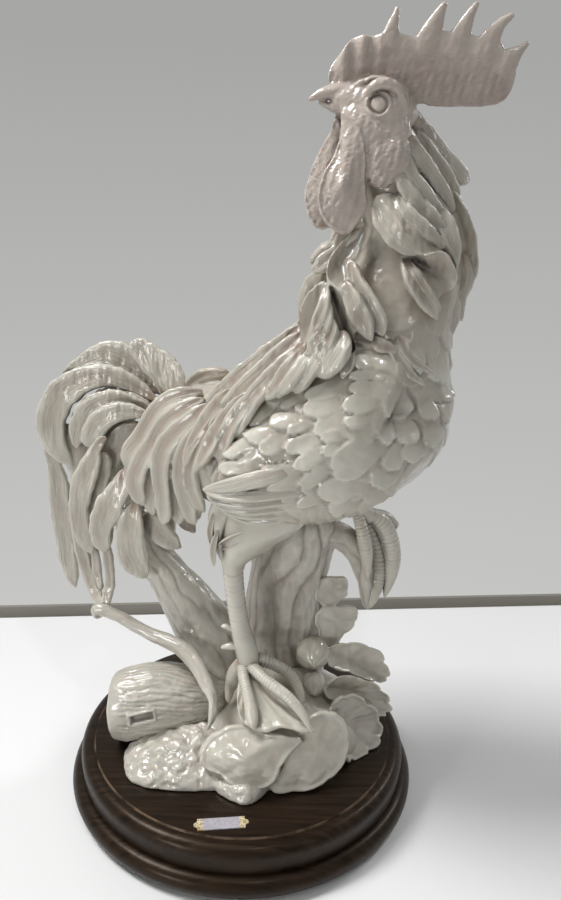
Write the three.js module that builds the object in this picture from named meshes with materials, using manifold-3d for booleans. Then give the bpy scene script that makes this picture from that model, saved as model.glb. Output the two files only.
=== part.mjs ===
// A glazed white cockerel on a turned walnut plinth. The bird and its rockery are cast and pressed in
// pieces that are luted together: body, neck, head, comb, wattles, legs, wings, feathers, stump, log,
// rocks and leaves. A bolt from below holds the ware on the plinth, and a felt disc covers it.
// Millimetres. +X is to the viewer's right, +Y is away from the viewer, +Z is up.
// The origin is the centre of the felt's underside. The castings are placed from the plinth's top.
import * as THREE from "three";
import { mergeVertices } from "three/addons/utils/BufferGeometryUtils.js";
import Module from "manifold-3d";

const wasm = await Module();
wasm.setup();

// Plinth, from the bottom up: torus, cove, rounded shoulder, groove, flat top
const feltThickness = 1.5;
const feltMargin = 6;
const plinthThickness = 28.5;
const torusRadius = 97.5;
const torusHeight = 12;
const coveRadius = 91;
const coveHeight = 2;
const shoulderRadius = 92;
const shoulderRound = 6;
const grooveWidth = 1.6;
const grooveDepth = 0.8;
const topRadius = shoulderRadius - shoulderRound - grooveWidth;
const latheSteps = 48;

// Fixing from below
const boltRadius = 3;
const boltHeadRadius = 5.5;
const boltHeadHeight = 3.5;
const boltReach = 16;
const washerRadius = 9;
const washerThickness = 1.2;
const counterboreMargin = 2;
const headRecess = 1.7;
const boltSteps = 20;

// Name plate
const plateLength = 29;
const plateWidth = 7.4;
const plateThickness = 0.6;
const plateEar = 2.6;
const plateInset = 8.5;
const plateGap = 6.9;
const plateBearing = THREE.MathUtils.degToRad(-95.3);
const plateTurn = THREE.MathUtils.degToRad(7.4);
const plateReach = topRadius - plateInset;
const plateCentre = [plateReach * Math.cos(plateBearing), plateReach * Math.sin(plateBearing)];

// Ware
const seam = 0.3;
const ribbonThickness = 6;
const leafThickness = 6;
const combThickness = 4;
const combBevel = 1;

const plinthTop = feltThickness + plinthThickness;

const glaze = { color: 0xdcd8cd, roughness: 0.2, metalness: 0 };
const biscuit = { color: 0xcfc9bd, roughness: 0.4, metalness: 0 };
const blush = { color: 0xdccbc0, roughness: 0.3, metalness: 0 };
const walnut = { color: 0x3a2a20, roughness: 0.35, metalness: 0 };
const felt = { color: 0x2f3a30, roughness: 0.95, metalness: 0 };
const gilt = { color: 0xcabf98, roughness: 0.35, metalness: 0.6 };
const steel = { color: 0x9a9c9e, roughness: 0.4, metalness: 0.9 };

const up = [0, 0, 1];
const front = [0, -1, 0];

// Solids

function turnedRound(geometry) {
  const index = Array.from(geometry.index.array);
  for (let i = 0; i < index.length; i += 3) {
    [index[i + 1], index[i + 2]] = [index[i + 2], index[i + 1]];
  }
  return geometry.clone().setIndex(index);
}

function solidOf(geometry) {
  const bare = new THREE.BufferGeometry();
  bare.setAttribute("position", geometry.getAttribute("position"));
  bare.setIndex(geometry.index);
  const merged = mergeVertices(bare, 1e-4);
  const solid = new wasm.Manifold(
    new wasm.Mesh({
      numProp: 3,
      vertProperties: merged.attributes.position.array,
      triVerts: new Uint32Array(merged.index.array),
    }),
  );
  return solid.volume() > 0 ? solid : solidOf(turnedRound(merged));
}

function geometryOf(solid) {
  const made = solid.getMesh();
  const position = new Float32Array(made.numVert * 3);
  for (let i = 0; i < made.numVert; i++) {
    position.set(made.vertProperties.subarray(i * made.numProp, i * made.numProp + 3), 3 * i);
  }
  const geometry = new THREE.BufferGeometry();
  geometry.setAttribute("position", new THREE.BufferAttribute(position, 3));
  geometry.setIndex(new THREE.BufferAttribute(made.triVerts, 1));
  geometry.computeVertexNormals();
  return geometry;
}

function joined(solids) {
  return solids.reduce((whole, solid) => whole.add(solid));
}

// A closed form carried along a smooth path. At the share t of the path, size(t) gives its half width
// across and its half depth towards face. grow fattens it all round.
function carried(points, size, face, { sides, rings, grow }) {
  const path = new THREE.CatmullRomCurve3(
    points.map((point) => new THREE.Vector3(...point)),
    false,
    "catmullrom",
    0.5,
  );
  const facing = new THREE.Vector3(...face);
  const corners = [path.getPoint(0).addScaledVector(path.getTangent(0), -grow)];
  for (let ring = 1; ring < rings; ring++) {
    const t = (1 - Math.cos((Math.PI * ring) / rings)) / 2;
    const along = path.getTangent(t);
    const across = new THREE.Vector3().crossVectors(along, facing).normalize();
    const out = new THREE.Vector3().crossVectors(across, along);
    const [width, depth] = size(t);
    for (let side = 0; side < sides; side++) {
      const angle = (2 * Math.PI * side) / sides;
      corners.push(
        path
          .getPoint(t)
          .addScaledVector(across, (width + grow) * Math.cos(angle))
          .addScaledVector(out, (depth + grow) * Math.sin(angle)),
      );
    }
  }
  corners.push(path.getPoint(1).addScaledVector(path.getTangent(1), grow));
  const index = [];
  const last = corners.length - 1;
  for (let side = 0; side < sides; side++) {
    const next = (side + 1) % sides;
    index.push(0, 1 + next, 1 + side);
    for (let near = 1; near + 2 * sides <= last; near += sides) {
      const far = near + sides;
      index.push(near + side, near + next, far + next, near + side, far + next, far + side);
    }
    index.push(last, last - sides + side, last - sides + next);
  }
  return solidOf(new THREE.BufferGeometry().setFromPoints(corners).setIndex(index));
}

// Stations [x, y, z, half width, half depth], with ends rounded over the share blunt of the length.
function bulk(stations, face, { sides = 10, rings = 9, blunt = 0.1 } = {}) {
  const radii = new THREE.CatmullRomCurve3(
    stations.map(([, , , width, depth]) => new THREE.Vector3(width, depth, 0)),
    false,
    "catmullrom",
    0.5,
  );
  const size = (t) => {
    const end = Math.min(1, t / blunt, (1 - t) / blunt);
    const round = Math.sqrt(1 - (1 - end) ** 2);
    const { x, y } = radii.getPoint(t);
    return [x * round, y * round];
  };
  const points = stations.map(([x, y, z]) => [x, y, z]);
  return (grow) => carried(points, size, face, { sides, rings, grow });
}

// A strip that is widest at the share 0.5 ** (1 / lean) of its length. point is 0.5 for round ends
// and nears 1 for sharp ones.
function strip(points, width, options = {}) {
  const { face = front, thickness = ribbonThickness, lean = 1, point = 0.6 } = options;
  const { sides = 8, rings = 9 } = options;
  const size = (t) => {
    const swell = Math.sin(Math.PI * t ** lean);
    return [(width / 2) * swell ** point, (thickness / 2) * swell ** 0.4];
  };
  return (grow) => carried(points, size, face, { sides, rings, grow });
}

function together(...forms) {
  return (grow) => joined(forms.map((form) => form(grow)));
}

// Assembly

const rooster = new THREE.Group();
const ware = new THREE.Group();
ware.position.z = plinthTop;
rooster.add(ware);

function place(group, name, solid, finish) {
  const mesh = new THREE.Mesh(geometryOf(solid), new THREE.MeshStandardMaterial(finish));
  mesh.name = name;
  group.add(mesh);
}

const castings = [];

function boxesMeet(a, b) {
  return [0, 1, 2].every((k) => a.min[k] <= b.max[k] && b.min[k] <= a.max[k]);
}

// Lutes a casting to those placed before it: they are cut out of it with the seam, and so is the plinth.
function lute(name, form, finish = glaze) {
  let solid = form(0).trimByPlane(up, seam);
  for (const casting of castings) {
    if (boxesMeet(solid.boundingBox(), casting.box)) {
      solid = solid.subtract(casting.solid);
    }
  }
  const whole = solid.decompose().reduce((a, b) => (a.volume() > b.volume() ? a : b));
  const grown = form(seam);
  castings.push({ solid: grown, box: grown.boundingBox() });
  place(ware, name, whole, finish);
}

// Turned plinth with its felt and bolt

function turned(profile, steps) {
  const points = profile.map(([radius, z]) => new THREE.Vector2(radius, z));
  return solidOf(new THREE.LatheGeometry(points, steps).rotateX(Math.PI / 2));
}

function drum(radius, bottom, top, steps = boltSteps) {
  return turned([[0, bottom], [radius, bottom], [radius, top], [0, top]], steps);
}

function arc(centre, radius, from, to, steps) {
  return Array.from({ length: steps + 1 }, (_, i) => {
    const angle = from + ((to - from) * i) / steps;
    return [centre[0] + radius * Math.cos(angle), centre[1] + radius * Math.sin(angle)];
  });
}

function plinthSolid() {
  const foot = feltThickness;
  const top = plinthTop;
  const torus = torusHeight / 2;
  const shoulderHeight = top - grooveDepth - shoulderRound;
  const profile = [
    [0, foot],
    ...arc([torusRadius - torus, foot + torus], torus, -Math.PI / 2, Math.PI / 2, 6),
    [coveRadius, foot + torusHeight],
    [coveRadius, foot + torusHeight + coveHeight],
    [shoulderRadius, foot + torusHeight + coveHeight],
    ...arc([shoulderRadius - shoulderRound, shoulderHeight], shoulderRound, 0, Math.PI / 2, 4),
    [topRadius, top - grooveDepth],
    [topRadius, top],
    [0, top],
  ];
  return turned(profile, latheSteps);
}

function plateSolid() {
  const end = plateLength / 2;
  const neck = end - plateEar;
  const side = plateWidth / 2;
  const shape = new THREE.Shape();
  shape.moveTo(-neck, -side);
  shape.lineTo(neck, -side);
  shape.lineTo(neck, -side / 2);
  shape.quadraticCurveTo(end + plateEar / 2, 0, neck, side / 2);
  shape.lineTo(neck, side);
  shape.lineTo(-neck, side);
  shape.lineTo(-neck, side / 2);
  shape.quadraticCurveTo(-end - plateEar / 2, 0, -neck, -side / 2);
  const geometry = new THREE.ExtrudeGeometry(shape, {
    depth: plateThickness,
    bevelEnabled: false,
    curveSegments: 5,
  });
  return solidOf(geometry.rotateZ(plateTurn).translate(...plateCentre, plinthTop));
}

const headTop = feltThickness + headRecess + boltHeadHeight;
const washerTop = headTop + seam + washerThickness;
const boreTop = washerTop + seam;
const bore = drum(boltRadius + seam, 0, plinthTop + 1);
const counterbore = drum(washerRadius + counterboreMargin, 0, boreTop);
const washer = drum(washerRadius, washerTop - washerThickness, washerTop).subtract(bore);
const boltHead = drum(boltHeadRadius, headTop - boltHeadHeight, headTop, 6);
const shank = drum(boltRadius, headTop - boltHeadHeight / 2, plinthTop + boltReach);

place(rooster, "wooden_plinth", plinthSolid().subtract(bore).subtract(counterbore), walnut);
place(rooster, "felt_disc", drum(torusRadius - feltMargin, 0, feltThickness, latheSteps), felt);
place(rooster, "bolt_washer", washer, steel);
place(rooster, "fixing_bolt", boltHead.add(shank), steel);
place(rooster, "name_plate", plateSolid(), gilt);

// Rockery

const ground = bulk(
  [
    [-54, 6, 0, 14, 8],
    [-36, 6, 0, 30, 14],
    [-12, 0, 0, 42, 22],
    [14, -2, 0, 50, 42],
    [38, 0, 0, 46, 42],
    [62, 4, 0, 38, 30],
    [82, 8, 0, 20, 14],
  ],
  up,
  { sides: 18, rings: 11, blunt: 0.06 },
);
lute("rock_mound", (grow) => ground(grow).subtract(drum(boltRadius + seam, -1, boltReach + seam)), biscuit);
lute(
  "cut_log",
  bulk(
    [
      [-72, -9, 20, 17, 18],
      [-62, -9, 21, 19, 19],
      [-42, -8, 24, 19, 19],
      [-22, -6, 23, 14, 15],
      [-8, -4, 20, 8, 9],
    ],
    up,
    { sides: 12, blunt: 0.03 },
  ),
  biscuit,
);
// The rock's toe stops short of the name plate.
const toeEnd = plateCentre[1] + plateWidth / 2 + plateGap;
const toe = [
  [4, -40, 8, 8, 8],
  [5, -50, 7, 14, 10],
  [6, toeEnd + 5, 5, 10, 8],
  [7, toeEnd, 4, 3, 4],
];
lute(
  "front_rock",
  together(
    bulk(
      [
        [-64, -36, 7, 5, 6],
        [-55, -37, 9, 13, 13],
        [-38, -38, 9, 17, 15],
        [-18, -41, 9, 16, 14],
        [2, -44, 8, 14, 12],
        [16, -46, 6, 8, 8],
      ],
      up,
      { sides: 12 },
    ),
    bulk(toe, up, { rings: 6 }),
  ),
  biscuit,
);
lute(
  "tree_stump",
  bulk(
    [
      [18, 14, 0, 30, 22],
      [20, 15, 40, 25, 19],
      [22, 15, 80, 22, 17],
      [26, 13, 112, 22, 17],
      [32, 10, 142, 21, 16],
    ],
    front,
    { sides: 12 },
  ),
  biscuit,
);
lute(
  "leaning_branch",
  bulk(
    [
      [-63, 24, 124, 7, 7],
      [-57, 23, 104, 9.5, 9],
      [-45, 21, 86, 12, 12],
      [-31, 18, 66, 16, 14],
      [-18, 13, 44, 19, 16],
      [-10, 8, 14, 22, 17],
    ],
    front,
    { sides: 12 },
  ),
  biscuit,
);
lute(
  "stump_limb",
  bulk(
    [
      [34, 10, 116, 10, 9],
      [47, 9, 121, 8, 8],
      [58, 9, 113, 7, 7],
      [65, 9, 97, 5, 6],
      [68, 8, 76, 3, 4],
    ],
    front,
  ),
  biscuit,
);

// Bird

lute(
  "body",
  bulk(
    [
      [-54, 17, 182, 9, 5],
      [-42, 15, 183, 20, 12],
      [-25, 10, 180, 32, 23],
      [0, 3, 174, 38, 35],
      [30, -5, 176, 41, 35],
      [58, -10, 184, 42, 29],
      [78, -14, 195, 34, 22],
      [88, -16, 205, 21, 12],
      [95, -17, 211, 7, 6],
    ],
    up,
    { sides: 20, rings: 14, blunt: 0.05 },
  ),
);
lute(
  "neck",
  bulk(
    [
      [56, -6, 192, 39, 34],
      [61, -8, 220, 36, 33],
      [67, -7, 243, 29, 28],
      [74, -5, 266, 25, 23],
      [74, -4, 288, 21, 18],
      [68, -6, 308, 18, 14],
      [62, -8, 326, 15, 11],
      [60, -9, 340, 8, 7],
    ],
    front,
    { sides: 16, rings: 12 },
  ),
);
const skull = [
  [83, -6, 326, 5, 5],
  [74, -7, 330, 10, 12],
  [61, -9, 333, 12, 15],
  [49, -9, 336, 9.5, 12],
  [39, -9, 338, 6, 7],
  [33, -9, 339, 3, 4],
];
const upperBeak = [[42, -9, 341, 4, 3], [33, -9, 342, 3.4, 2.6], [27, -9, 341, 2.2, 2], [23, -9, 338, 1, 1]];
const lowerBeak = [[44, -9, 334, 4, 2], [36, -9, 334, 3, 1.8], [31, -9, 336, 1.6, 1.2], [28, -9, 337, 1, 1]];
const earlobeWidth = 13;
const earlobeRight = [[60, -16, 322], [58, -19, 314], [57, -19, 307], [56, -17, 300]];
const earlobeLeft = [[60, -2, 322], [58, 2, 314], [57, 2, 307], [56, 0, 300]];
lute(
  "head",
  together(
    bulk(skull, up, { sides: 14, rings: 10 }),
    bulk(upperBeak, up, { sides: 8, rings: 8 }),
    bulk(lowerBeak, up, { sides: 8, rings: 7 }),
    strip(earlobeRight, earlobeWidth, { rings: 7 }),
    strip(earlobeLeft, earlobeWidth, { rings: 7 }),
  ),
);

// The comb's front edge is lobed, and each spike sweeps back from a valley to its tip.
const combFront = [[35, 342], [32, 348], [36, 357], [43, 365], [50, 365], [59.5, 375]];
const combSpikes = [
  { valley: [63, 366], tip: [80, 379] },
  { valley: [84, 368], tip: [93.5, 379] },
  { valley: [96, 366], tip: [109, 374] },
  { valley: [108, 360], tip: [117, 365] },
];
const combBack = [[113, 352], [112, 346], [106, 339], [96, 337], [85, 337], [72, 336], [58, 334]];
const combStart = [40, 336];
const combPlane = -8;
const spikeLean = 3;

function combForm(grow) {
  const smooth = (points) => points.map((point) => new THREE.Vector2(...point));
  const shape = new THREE.Shape();
  shape.moveTo(...combStart);
  shape.splineThru(smooth(combFront));
  for (const { valley, tip } of combSpikes) {
    const rise = [tip[0] - valley[0], tip[1] - valley[1]];
    shape.quadraticCurveTo(valley[0] - spikeLean, valley[1], ...valley);
    shape.quadraticCurveTo(valley[0] + 0.6 * rise[0], valley[1] + 0.3 * rise[1], ...tip);
  }
  shape.splineThru(smooth(combBack));
  const depth = combThickness - 2 * combBevel + 2 * grow;
  const geometry = new THREE.ExtrudeGeometry(shape, {
    depth,
    bevelThickness: combBevel,
    bevelSize: combBevel / 2,
    bevelOffset: grow - combBevel / 2,
    bevelSegments: 1,
    curveSegments: 3,
  });
  return solidOf(geometry.translate(0, 0, -depth / 2).rotateX(Math.PI / 2).translate(0, combPlane, 0));
}
lute("comb", combForm, blush);

const wattleRight = [
  [42, -15, 332, 3, 2],
  [41, -19, 316, 7, 3.5],
  [40.5, -21, 304, 9.5, 3.5],
  [40, -21, 294, 9.5, 3.5],
  [42, -20, 282, 3, 2],
];
const wattleLeft = [
  [40, -3, 332, 3, 2],
  [36, -1, 318, 6, 3],
  [33, -1, 305, 9, 3.5],
  [33, -1, 294, 8.5, 3.5],
  [36, -1, 284, 3, 2],
];
lute("wattle_right", bulk(wattleRight, [-0.25, -1, 0], { sides: 8 }), blush);
lute("wattle_left", bulk(wattleLeft, front, { sides: 8 }), blush);

// Legs: the left leg of the picture stands, with its claws round a petal, and the other is drawn up.
const thigh = [
  [24, -10, 166, 20, 18],
  [12, -18, 151, 21, 17],
  [2, -22, 136, 15, 13],
  [-5, -21, 121, 7.5, 8],
  [-6, -20, 110, 5, 6],
];
const standingShank = [
  [-7, -20, 124, 5.5, 6],
  [-5, -20, 101, 5, 5.5],
  [-2, -20, 80, 5, 5.5],
  [2, -20, 64, 6, 6],
  [4, -21, 54, 5, 5],
];
const standingToes = [
  [[3, -20, 60, 4, 4], [5, -28, 46, 4, 4], [8, -37, 37, 4, 4], [10, -43, 29, 1.5, 2]],
  [[4, -21, 60, 4, 4], [17, -27, 50, 4, 4], [27, -33, 42, 4, 4], [33, -39, 35, 3, 3], [37, -43, 29, 1, 1]],
  [[5, -19, 60, 4, 4], [17, -18, 55, 4, 4], [26, -19, 49, 4, 4], [31, -23, 42, 3, 3], [33, -27, 36, 1, 1]],
  [[2, -19, 58, 4, 4], [-4, -15, 48, 4, 4], [-7, -15, 38, 3, 3], [-8, -17, 29, 1.5, 2]],
];
const raisedShank = [
  [22, 6, 158, 12, 11],
  [36, 3, 149, 7, 7],
  [49, 3, 141, 4.5, 4.5],
  [59, 6, 137, 4, 4.5],
  [67, 8, 131, 4.5, 5],
];
const raisedToes = [
  [[58, 6, 137, 3, 3], [61, 1, 128, 3, 3.5], [64, 0, 115, 3, 3.5], [66, 1, 100, 1, 1]],
  [[62, 8, 136, 4, 4], [73, 10, 127, 4.5, 4], [79, 12, 112, 4, 4], [81, 12, 98, 3.5, 4], [76, 9, 80, 1, 1]],
  [[63, 12, 132, 3.5, 4], [72, 16, 114, 4, 4], [74, 14, 98, 4, 4], [71, 8, 87, 3, 3], [69, 4, 78, 1, 1]],
  [[64, 10, 132, 3.5, 4], [74, 17, 128, 4, 4], [82, 20, 121, 3, 3]],
];

function leg(shankStations, shankFace, toes) {
  const claws = toes.map((toe) => bulk(toe, front, { sides: 8, rings: toe.length + 3 }));
  return together(bulk(shankStations, shankFace), ...claws);
}
lute("standing_thigh", bulk(thigh, front, { sides: 12 }));
lute("standing_leg", leg(standingShank, front, standingToes));
lute("raised_leg", leg(raisedShank, up, raisedToes));

// Wings: a covert mass with two rows of flight feathers below it. The far side mirrors the near one in
// the upright plane along the back.
const backPoint = [0, 5];
const backNormal = [0.254, 0.967];

function mirrored(points) {
  return points.map(([x, y, ...rest]) => {
    const away = (x - backPoint[0]) * backNormal[0] + (y - backPoint[1]) * backNormal[1];
    return [x - 2 * away * backNormal[0], y - 2 * away * backNormal[1], ...rest];
  });
}

const covertPath = [
  [74, -38, 196, 12, 5],
  [54, -46, 186, 24, 7],
  [26, -44, 178, 27, 8],
  [4, -39, 169, 20, 7],
  [-14, -35, 161, 10, 5],
];
const flightUpper = [[40, -40, 172], [14, -44, 160], [-8, -40, 154], [-27, -34, 153]];
const flightLower = [[44, -38, 164], [20, -42, 151], [-2, -38, 145], [-18, -32, 148]];
const flightWidth = 15;

function wing(side, sides) {
  return together(
    bulk(side(covertPath), front, { sides, rings: 9 }),
    strip(side(flightUpper), flightWidth, { point: 0.5, rings: 8 }),
    strip(side(flightLower), flightWidth, { point: 0.5, rings: 8 }),
  );
}
lute("wing_right", wing((points) => points, 12));
lute("wing_left", wing(mirrored, 10));

// Saddle feathers fall over the flank and the root of the tail.
const saddleWidth = 10;
const saddles = {
  top: [[-10, 0, 203], [-31, 3, 201], [-46, 4, 192], [-58, 6, 176]],
  upper: [[-6, -8, 203], [-29, -8, 199], [-43, -8, 188], [-53, -6, 174], [-65, -1, 158]],
  middle: [[-4, -15, 202], [-28, -15, 193], [-42, -14, 179], [-52, -12, 163], [-56, -9, 150], [-51, -8, 137]],
  long: [[-1, -21, 200], [-24, -21, 191], [-37, -21, 177], [-42, -18, 162], [-43, -14, 144], [-44, -12, 129]],
  inner: [[4, -26, 200], [-18, -27, 191], [-28, -26, 177], [-33, -22, 160], [-31, -18, 144], [-30, -16, 131]],
  front: [[12, -30, 200], [-9, -33, 194], [-20, -32, 180], [-24, -28, 163], [-21, -22, 148], [-18, -20, 138]],
};
const saddleFace = [-0.45, -0.85, 0.3];

function saddle(points, options) {
  return strip(points, saddleWidth, { face: saddleFace, lean: 0.9, point: 0.5, rings: 10, ...options });
}
lute("saddle_feathers_upper", together(saddle(saddles.top), saddle(saddles.upper)));
lute("saddle_feather_middle", saddle(saddles.middle));
lute("saddle_feather_long", saddle(saddles.long));
lute("saddle_feather_inner", saddle(saddles.inner));
lute("saddle_feather_front", saddle(saddles.front));
const farSaddles = [saddles.upper, saddles.middle, saddles.long, saddles.inner, saddles.front];
const farSaddle = (points) => saddle(mirrored(points), { face: [-0.1, 1, 0.3], sides: 6, rings: 8 });
lute("saddle_feathers_left", together(...farSaddles.map(farSaddle)));

// Tail: sickles arch up and over, coverts hang inside them, and two plumes trail down.
const tailFace = [-0.15, -1, 0.1];
const sickles = {
  outer: {
    width: 17,
    points: [
      [-34, 26, 178],
      [-55, 31, 203],
      [-72, 32, 212],
      [-89, 33, 208],
      [-104, 34, 194],
      [-114, 33, 175],
      [-105, 30, 143],
    ],
  },
  second: {
    width: 18,
    points: [
      [-36, 20, 178],
      [-56, 23, 197],
      [-72, 23, 202],
      [-88, 25, 196],
      [-100, 27, 180],
      [-105, 29, 162],
      [-97, 28, 142],
    ],
  },
  third: {
    width: 16,
    points: [[-38, 16, 180], [-58, 17, 193], [-73, 17, 192], [-87, 19, 184], [-94, 22, 168], [-91, 25, 149]],
  },
  light: {
    width: 18,
    points: [
      [-40, 12, 180],
      [-58, 12, 188],
      [-74, 11, 183],
      [-84, 13, 168],
      [-91, 17, 148],
      [-96, 21, 122],
      [-92, 24, 91],
    ],
  },
};
const coverts = {
  inner: { width: 14, points: [[-40, 8, 178], [-62, 6, 176], [-72, 6, 165], [-78, 9, 151], [-82, 12, 136]] },
  broad: { width: 17, points: [[-42, 4, 172], [-62, 2, 158], [-73, 3, 141], [-80, 6, 122], [-77, 10, 100]] },
  low: { width: 16, points: [[-38, 4, 160], [-56, -1, 141], [-62, -2, 122], [-66, 2, 104], [-60, 8, 88]] },
  pointed: { width: 12, points: [[-28, 8, 170], [-45, 4, 140], [-40, 3, 122], [-33, 4, 109]] },
};
const plumes = {
  far: {
    width: 16,
    points: [
      [-90, 27, 192],
      [-107, 35, 168],
      [-112, 42, 138],
      [-111, 44, 108],
      [-107, 43, 82],
      [-102, 40, 58],
    ],
  },
  long: { width: 10, points: [[-93, 19, 138], [-98, 28, 114], [-97, 31, 96], [-92, 27, 79], [-80, 9, 61]] },
};

function plume({ points, width }, options) {
  const rings = points.length > 6 ? 13 : 9;
  return strip(points, width, { face: tailFace, point: 0.4, rings, ...options });
}
for (const [name, feather] of Object.entries(sickles)) {
  lute(`tail_sickle_${name}`, plume(feather));
}
for (const [name, feather] of Object.entries(coverts)) {
  lute(`tail_covert_${name}`, plume(feather));
}
const crestWidth = 13;
const crest = [
  [[-30, 16, 176], [-38, 24, 200], [-36, 27, 214]],
  [[-31, 17, 176], [-46, 25, 203], [-48, 28, 217]],
  [[-32, 18, 176], [-53, 26, 204], [-60, 29, 219]],
];
const crestFeather = (points) => strip(points, crestWidth, { face: [0.1, -1, 0], point: 0.4, rings: 7 });
lute("tail_crest_feathers", together(...crest.map(crestFeather)));
for (const [name, feather] of Object.entries(plumes)) {
  lute(`tail_plume_${name}`, plume(feather));
}
lute(
  "tail_twig",
  bulk(
    [
      [-87, 8, 68, 3, 3],
      [-70, 5, 67, 4.2, 4],
      [-54, 1, 59, 5, 4.5],
      [-38, -5, 50, 5.8, 5],
      [-28, -11, 37, 5.8, 5],
      [-22, -18, 23, 5, 5],
      [-20, -25, 8, 3.6, 4],
    ],
    front,
    { sides: 8, rings: 11 },
  ),
);
const farTail = { face: [-0.35, 1, 0.1], sides: 6 };
const farPlume = ({ points, width }) => plume({ points: mirrored(points), width }, farTail);
lute("tail_sickles_left", together(farPlume(sickles.third), farPlume(sickles.light)));
const farCoverts = [coverts.inner, coverts.broad, coverts.low];
lute("tail_coverts_left", together(...farCoverts.map(farPlume)));

// Hackles: the long feathers of the cape, the mantle, the cheek, the throat and the nape.
function hackles(face, feathers) {
  const hackle = ([width, ...points]) => strip(points, width, { face, lean: 0.85, rings: 8 });
  return together(...feathers.map(hackle));
}

const neckPlane = -6;
function acrossNeck([width, ...points]) {
  return [width, ...points.map(([x, y, z]) => [x, 2 * neckPlane - y, z])];
}

const capeRight = [
  [10, [62, -10, 294], [49, -28, 284], [42, -33, 274], [37, -36, 266], [41, -36, 255]],
  [8, [54, -16, 288], [43, -29, 277], [34, -32, 271], [26, -32, 265]],
  [10, [48, -20, 276], [37, -36, 257], [41, -38, 247], [45, -39, 238], [50, -37, 226]],
  [8, [52, -18, 276], [47, -32, 260], [53, -33, 252], [58, -33, 244], [64, -30, 234]],
];
const capeOuter = [
  [10, [48, -14, 266], [30, -30, 258], [26, -33, 247], [25, -34, 236], [22, -33, 221]],
  [10, [48, -20, 260], [32, -36, 249], [30, -38, 238], [24, -38, 226], [15, -37, 213]],
];
const mantleUpper = [10, [42, -16, 250], [23, -28, 234], [4, -31, 212], [-8, -30, 198]];
const mantleLower = [10, [40, -26, 242], [22, -38, 223], [1, -41, 197], [-8, -39, 180]];
const cheek = [11, [56, -10, 304], [60, -25, 291], [71, -28, 281], [84, -27, 272]];
const throat = [
  [10, [68, -14, 284], [72, -28, 265], [78, -28, 255], [86, -25, 244]],
  [12, [70, -14, 298], [83, -24, 277], [89, -23, 264], [86, -21, 251]],
  [11, [66, -12, 316], [74, -22, 300], [85, -21, 286], [94, -16, 270], [97, -13, 254]],
];
const napeRidge = [[68, -6, 322], [82, -4, 310], [91, -3, 296], [96, -2, 280], [97, -3, 264], [92, -6, 238]];
const napeTuft = [[66, -4, 330], [80, 1, 325], [90, 3, 316], [99, 4, 304]];
const capeLeft = [
  [16, [72, -18, 304], [64, -27, 284], [54, -34, 262], [48, -40, 240], [44, -41, 216]],
  [16, [58, -14, 298], [46, -26, 276], [34, -34, 254], [22, -38, 232], [6, -38, 208]],
  [14, [52, -10, 282], [38, -22, 262], [24, -28, 244], [10, -30, 226], [-6, -30, 206]],
];
const napeLeft = [
  [16, [76, -14, 310], [84, -24, 288], [84, -32, 264], [78, -38, 240], [72, -40, 214]],
  [15, [84, -6, 302], [94, -14, 280], [96, -20, 258], [92, -26, 236], [86, -28, 214]],
];
lute("cape_feathers_right", hackles([-0.4, -0.9, 0], capeRight));
lute("cape_feathers_outer", hackles([-0.5, -0.85, 0.1], capeOuter));
lute(
  "mantle_feathers",
  together(hackles([-0.5, -0.7, 0.5], [mantleUpper]), hackles([-0.4, -0.9, 0.2], [mantleLower])),
);
lute("cheek_feathers", hackles([0.1, -1, 0.2], [cheek]));
lute("throat_petals", hackles([0.3, -1, 0.1], throat));
lute(
  "nape_feathers",
  together(
    strip(napeRidge, 14, { thickness: 16 }),
    strip(napeTuft, 9, { thickness: 9, point: 0.3, rings: 7 }),
  ),
);
lute("cape_feathers_left", hackles([-0.3, 1, 0.1], capeLeft.map(acrossNeck)));
lute("nape_feathers_left", hackles([0.3, 1, 0.1], napeLeft.map(acrossNeck)));

// Leaves curl up round the foot of the stump, with two buds between them.
const leaves = {
  leaf_under_foot: {
    face: [0.2, -0.8, 0.6],
    spine: [[2, -22, 54, 5], [10, -32, 44, 9], [18, -42, 33, 15], [22, -47, 26, 12]],
  },
  leaf_front_left: {
    face: [0, -0.85, 0.5],
    spine: [[17, -41, 24, 7], [3, -45, 21, 13], [-10, -46, 16, 15], [-20, -43, 8, 8]],
  },
  leaf_front_right: {
    face: [0.1, -0.9, 0.4],
    spine: [[10, -42, 19, 10], [26, -48, 18, 17], [43, -47, 16, 19], [59, -39, 13, 11]],
  },
  leaf_right_low: {
    face: [0.5, -0.8, 0.2],
    spine: [[44, -30, 14, 12], [60, -24, 12, 19], [74, -14, 10, 18], [85, -3, 9, 10]],
  },
  leaf_right_middle: {
    face: [0.4, -0.9, 0.2],
    spine: [[44, -12, 26, 12], [62, -8, 28, 20], [77, 0, 27, 19], [87, 8, 26, 10]],
  },
  leaf_right_upper: {
    face: [0.1, -1, 0.2],
    spine: [[36, 2, 42, 10], [57, 3, 46, 15], [73, 8, 47, 13], [85, 13, 44, 6]],
  },
  leaf_stump_low: {
    face: front,
    spine: [[32, 7, 66, 9], [50, 7, 68, 11], [60, 9, 72, 9], [67, 11, 75, 4]],
  },
  leaf_stump_high: {
    face: front,
    spine: [[32, 8, 86, 7], [46, 8, 90, 9], [55, 10, 91, 9], [62, 12, 92, 5]],
  },
};
for (const [name, { face, spine }] of Object.entries(leaves)) {
  const stations = spine.map((station) => [...station, leafThickness / 2]);
  lute(name, bulk(stations, face, { rings: 8 }));
}
const budLarge = [[38, 8, 54, 6, 6], [38, -4, 53, 9.5, 9.5], [38, -14, 52, 3, 3]];
const budSmall = [[38, -2, 41, 4, 4], [39, -13, 39, 6, 7], [39, -20, 38, 2, 2]];
lute("bud_large", bulk(budLarge, up, { rings: 7, blunt: 0.3 }));
lute("bud_small", bulk(budSmall, up, { sides: 8, rings: 6, blunt: 0.3 }));

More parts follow.
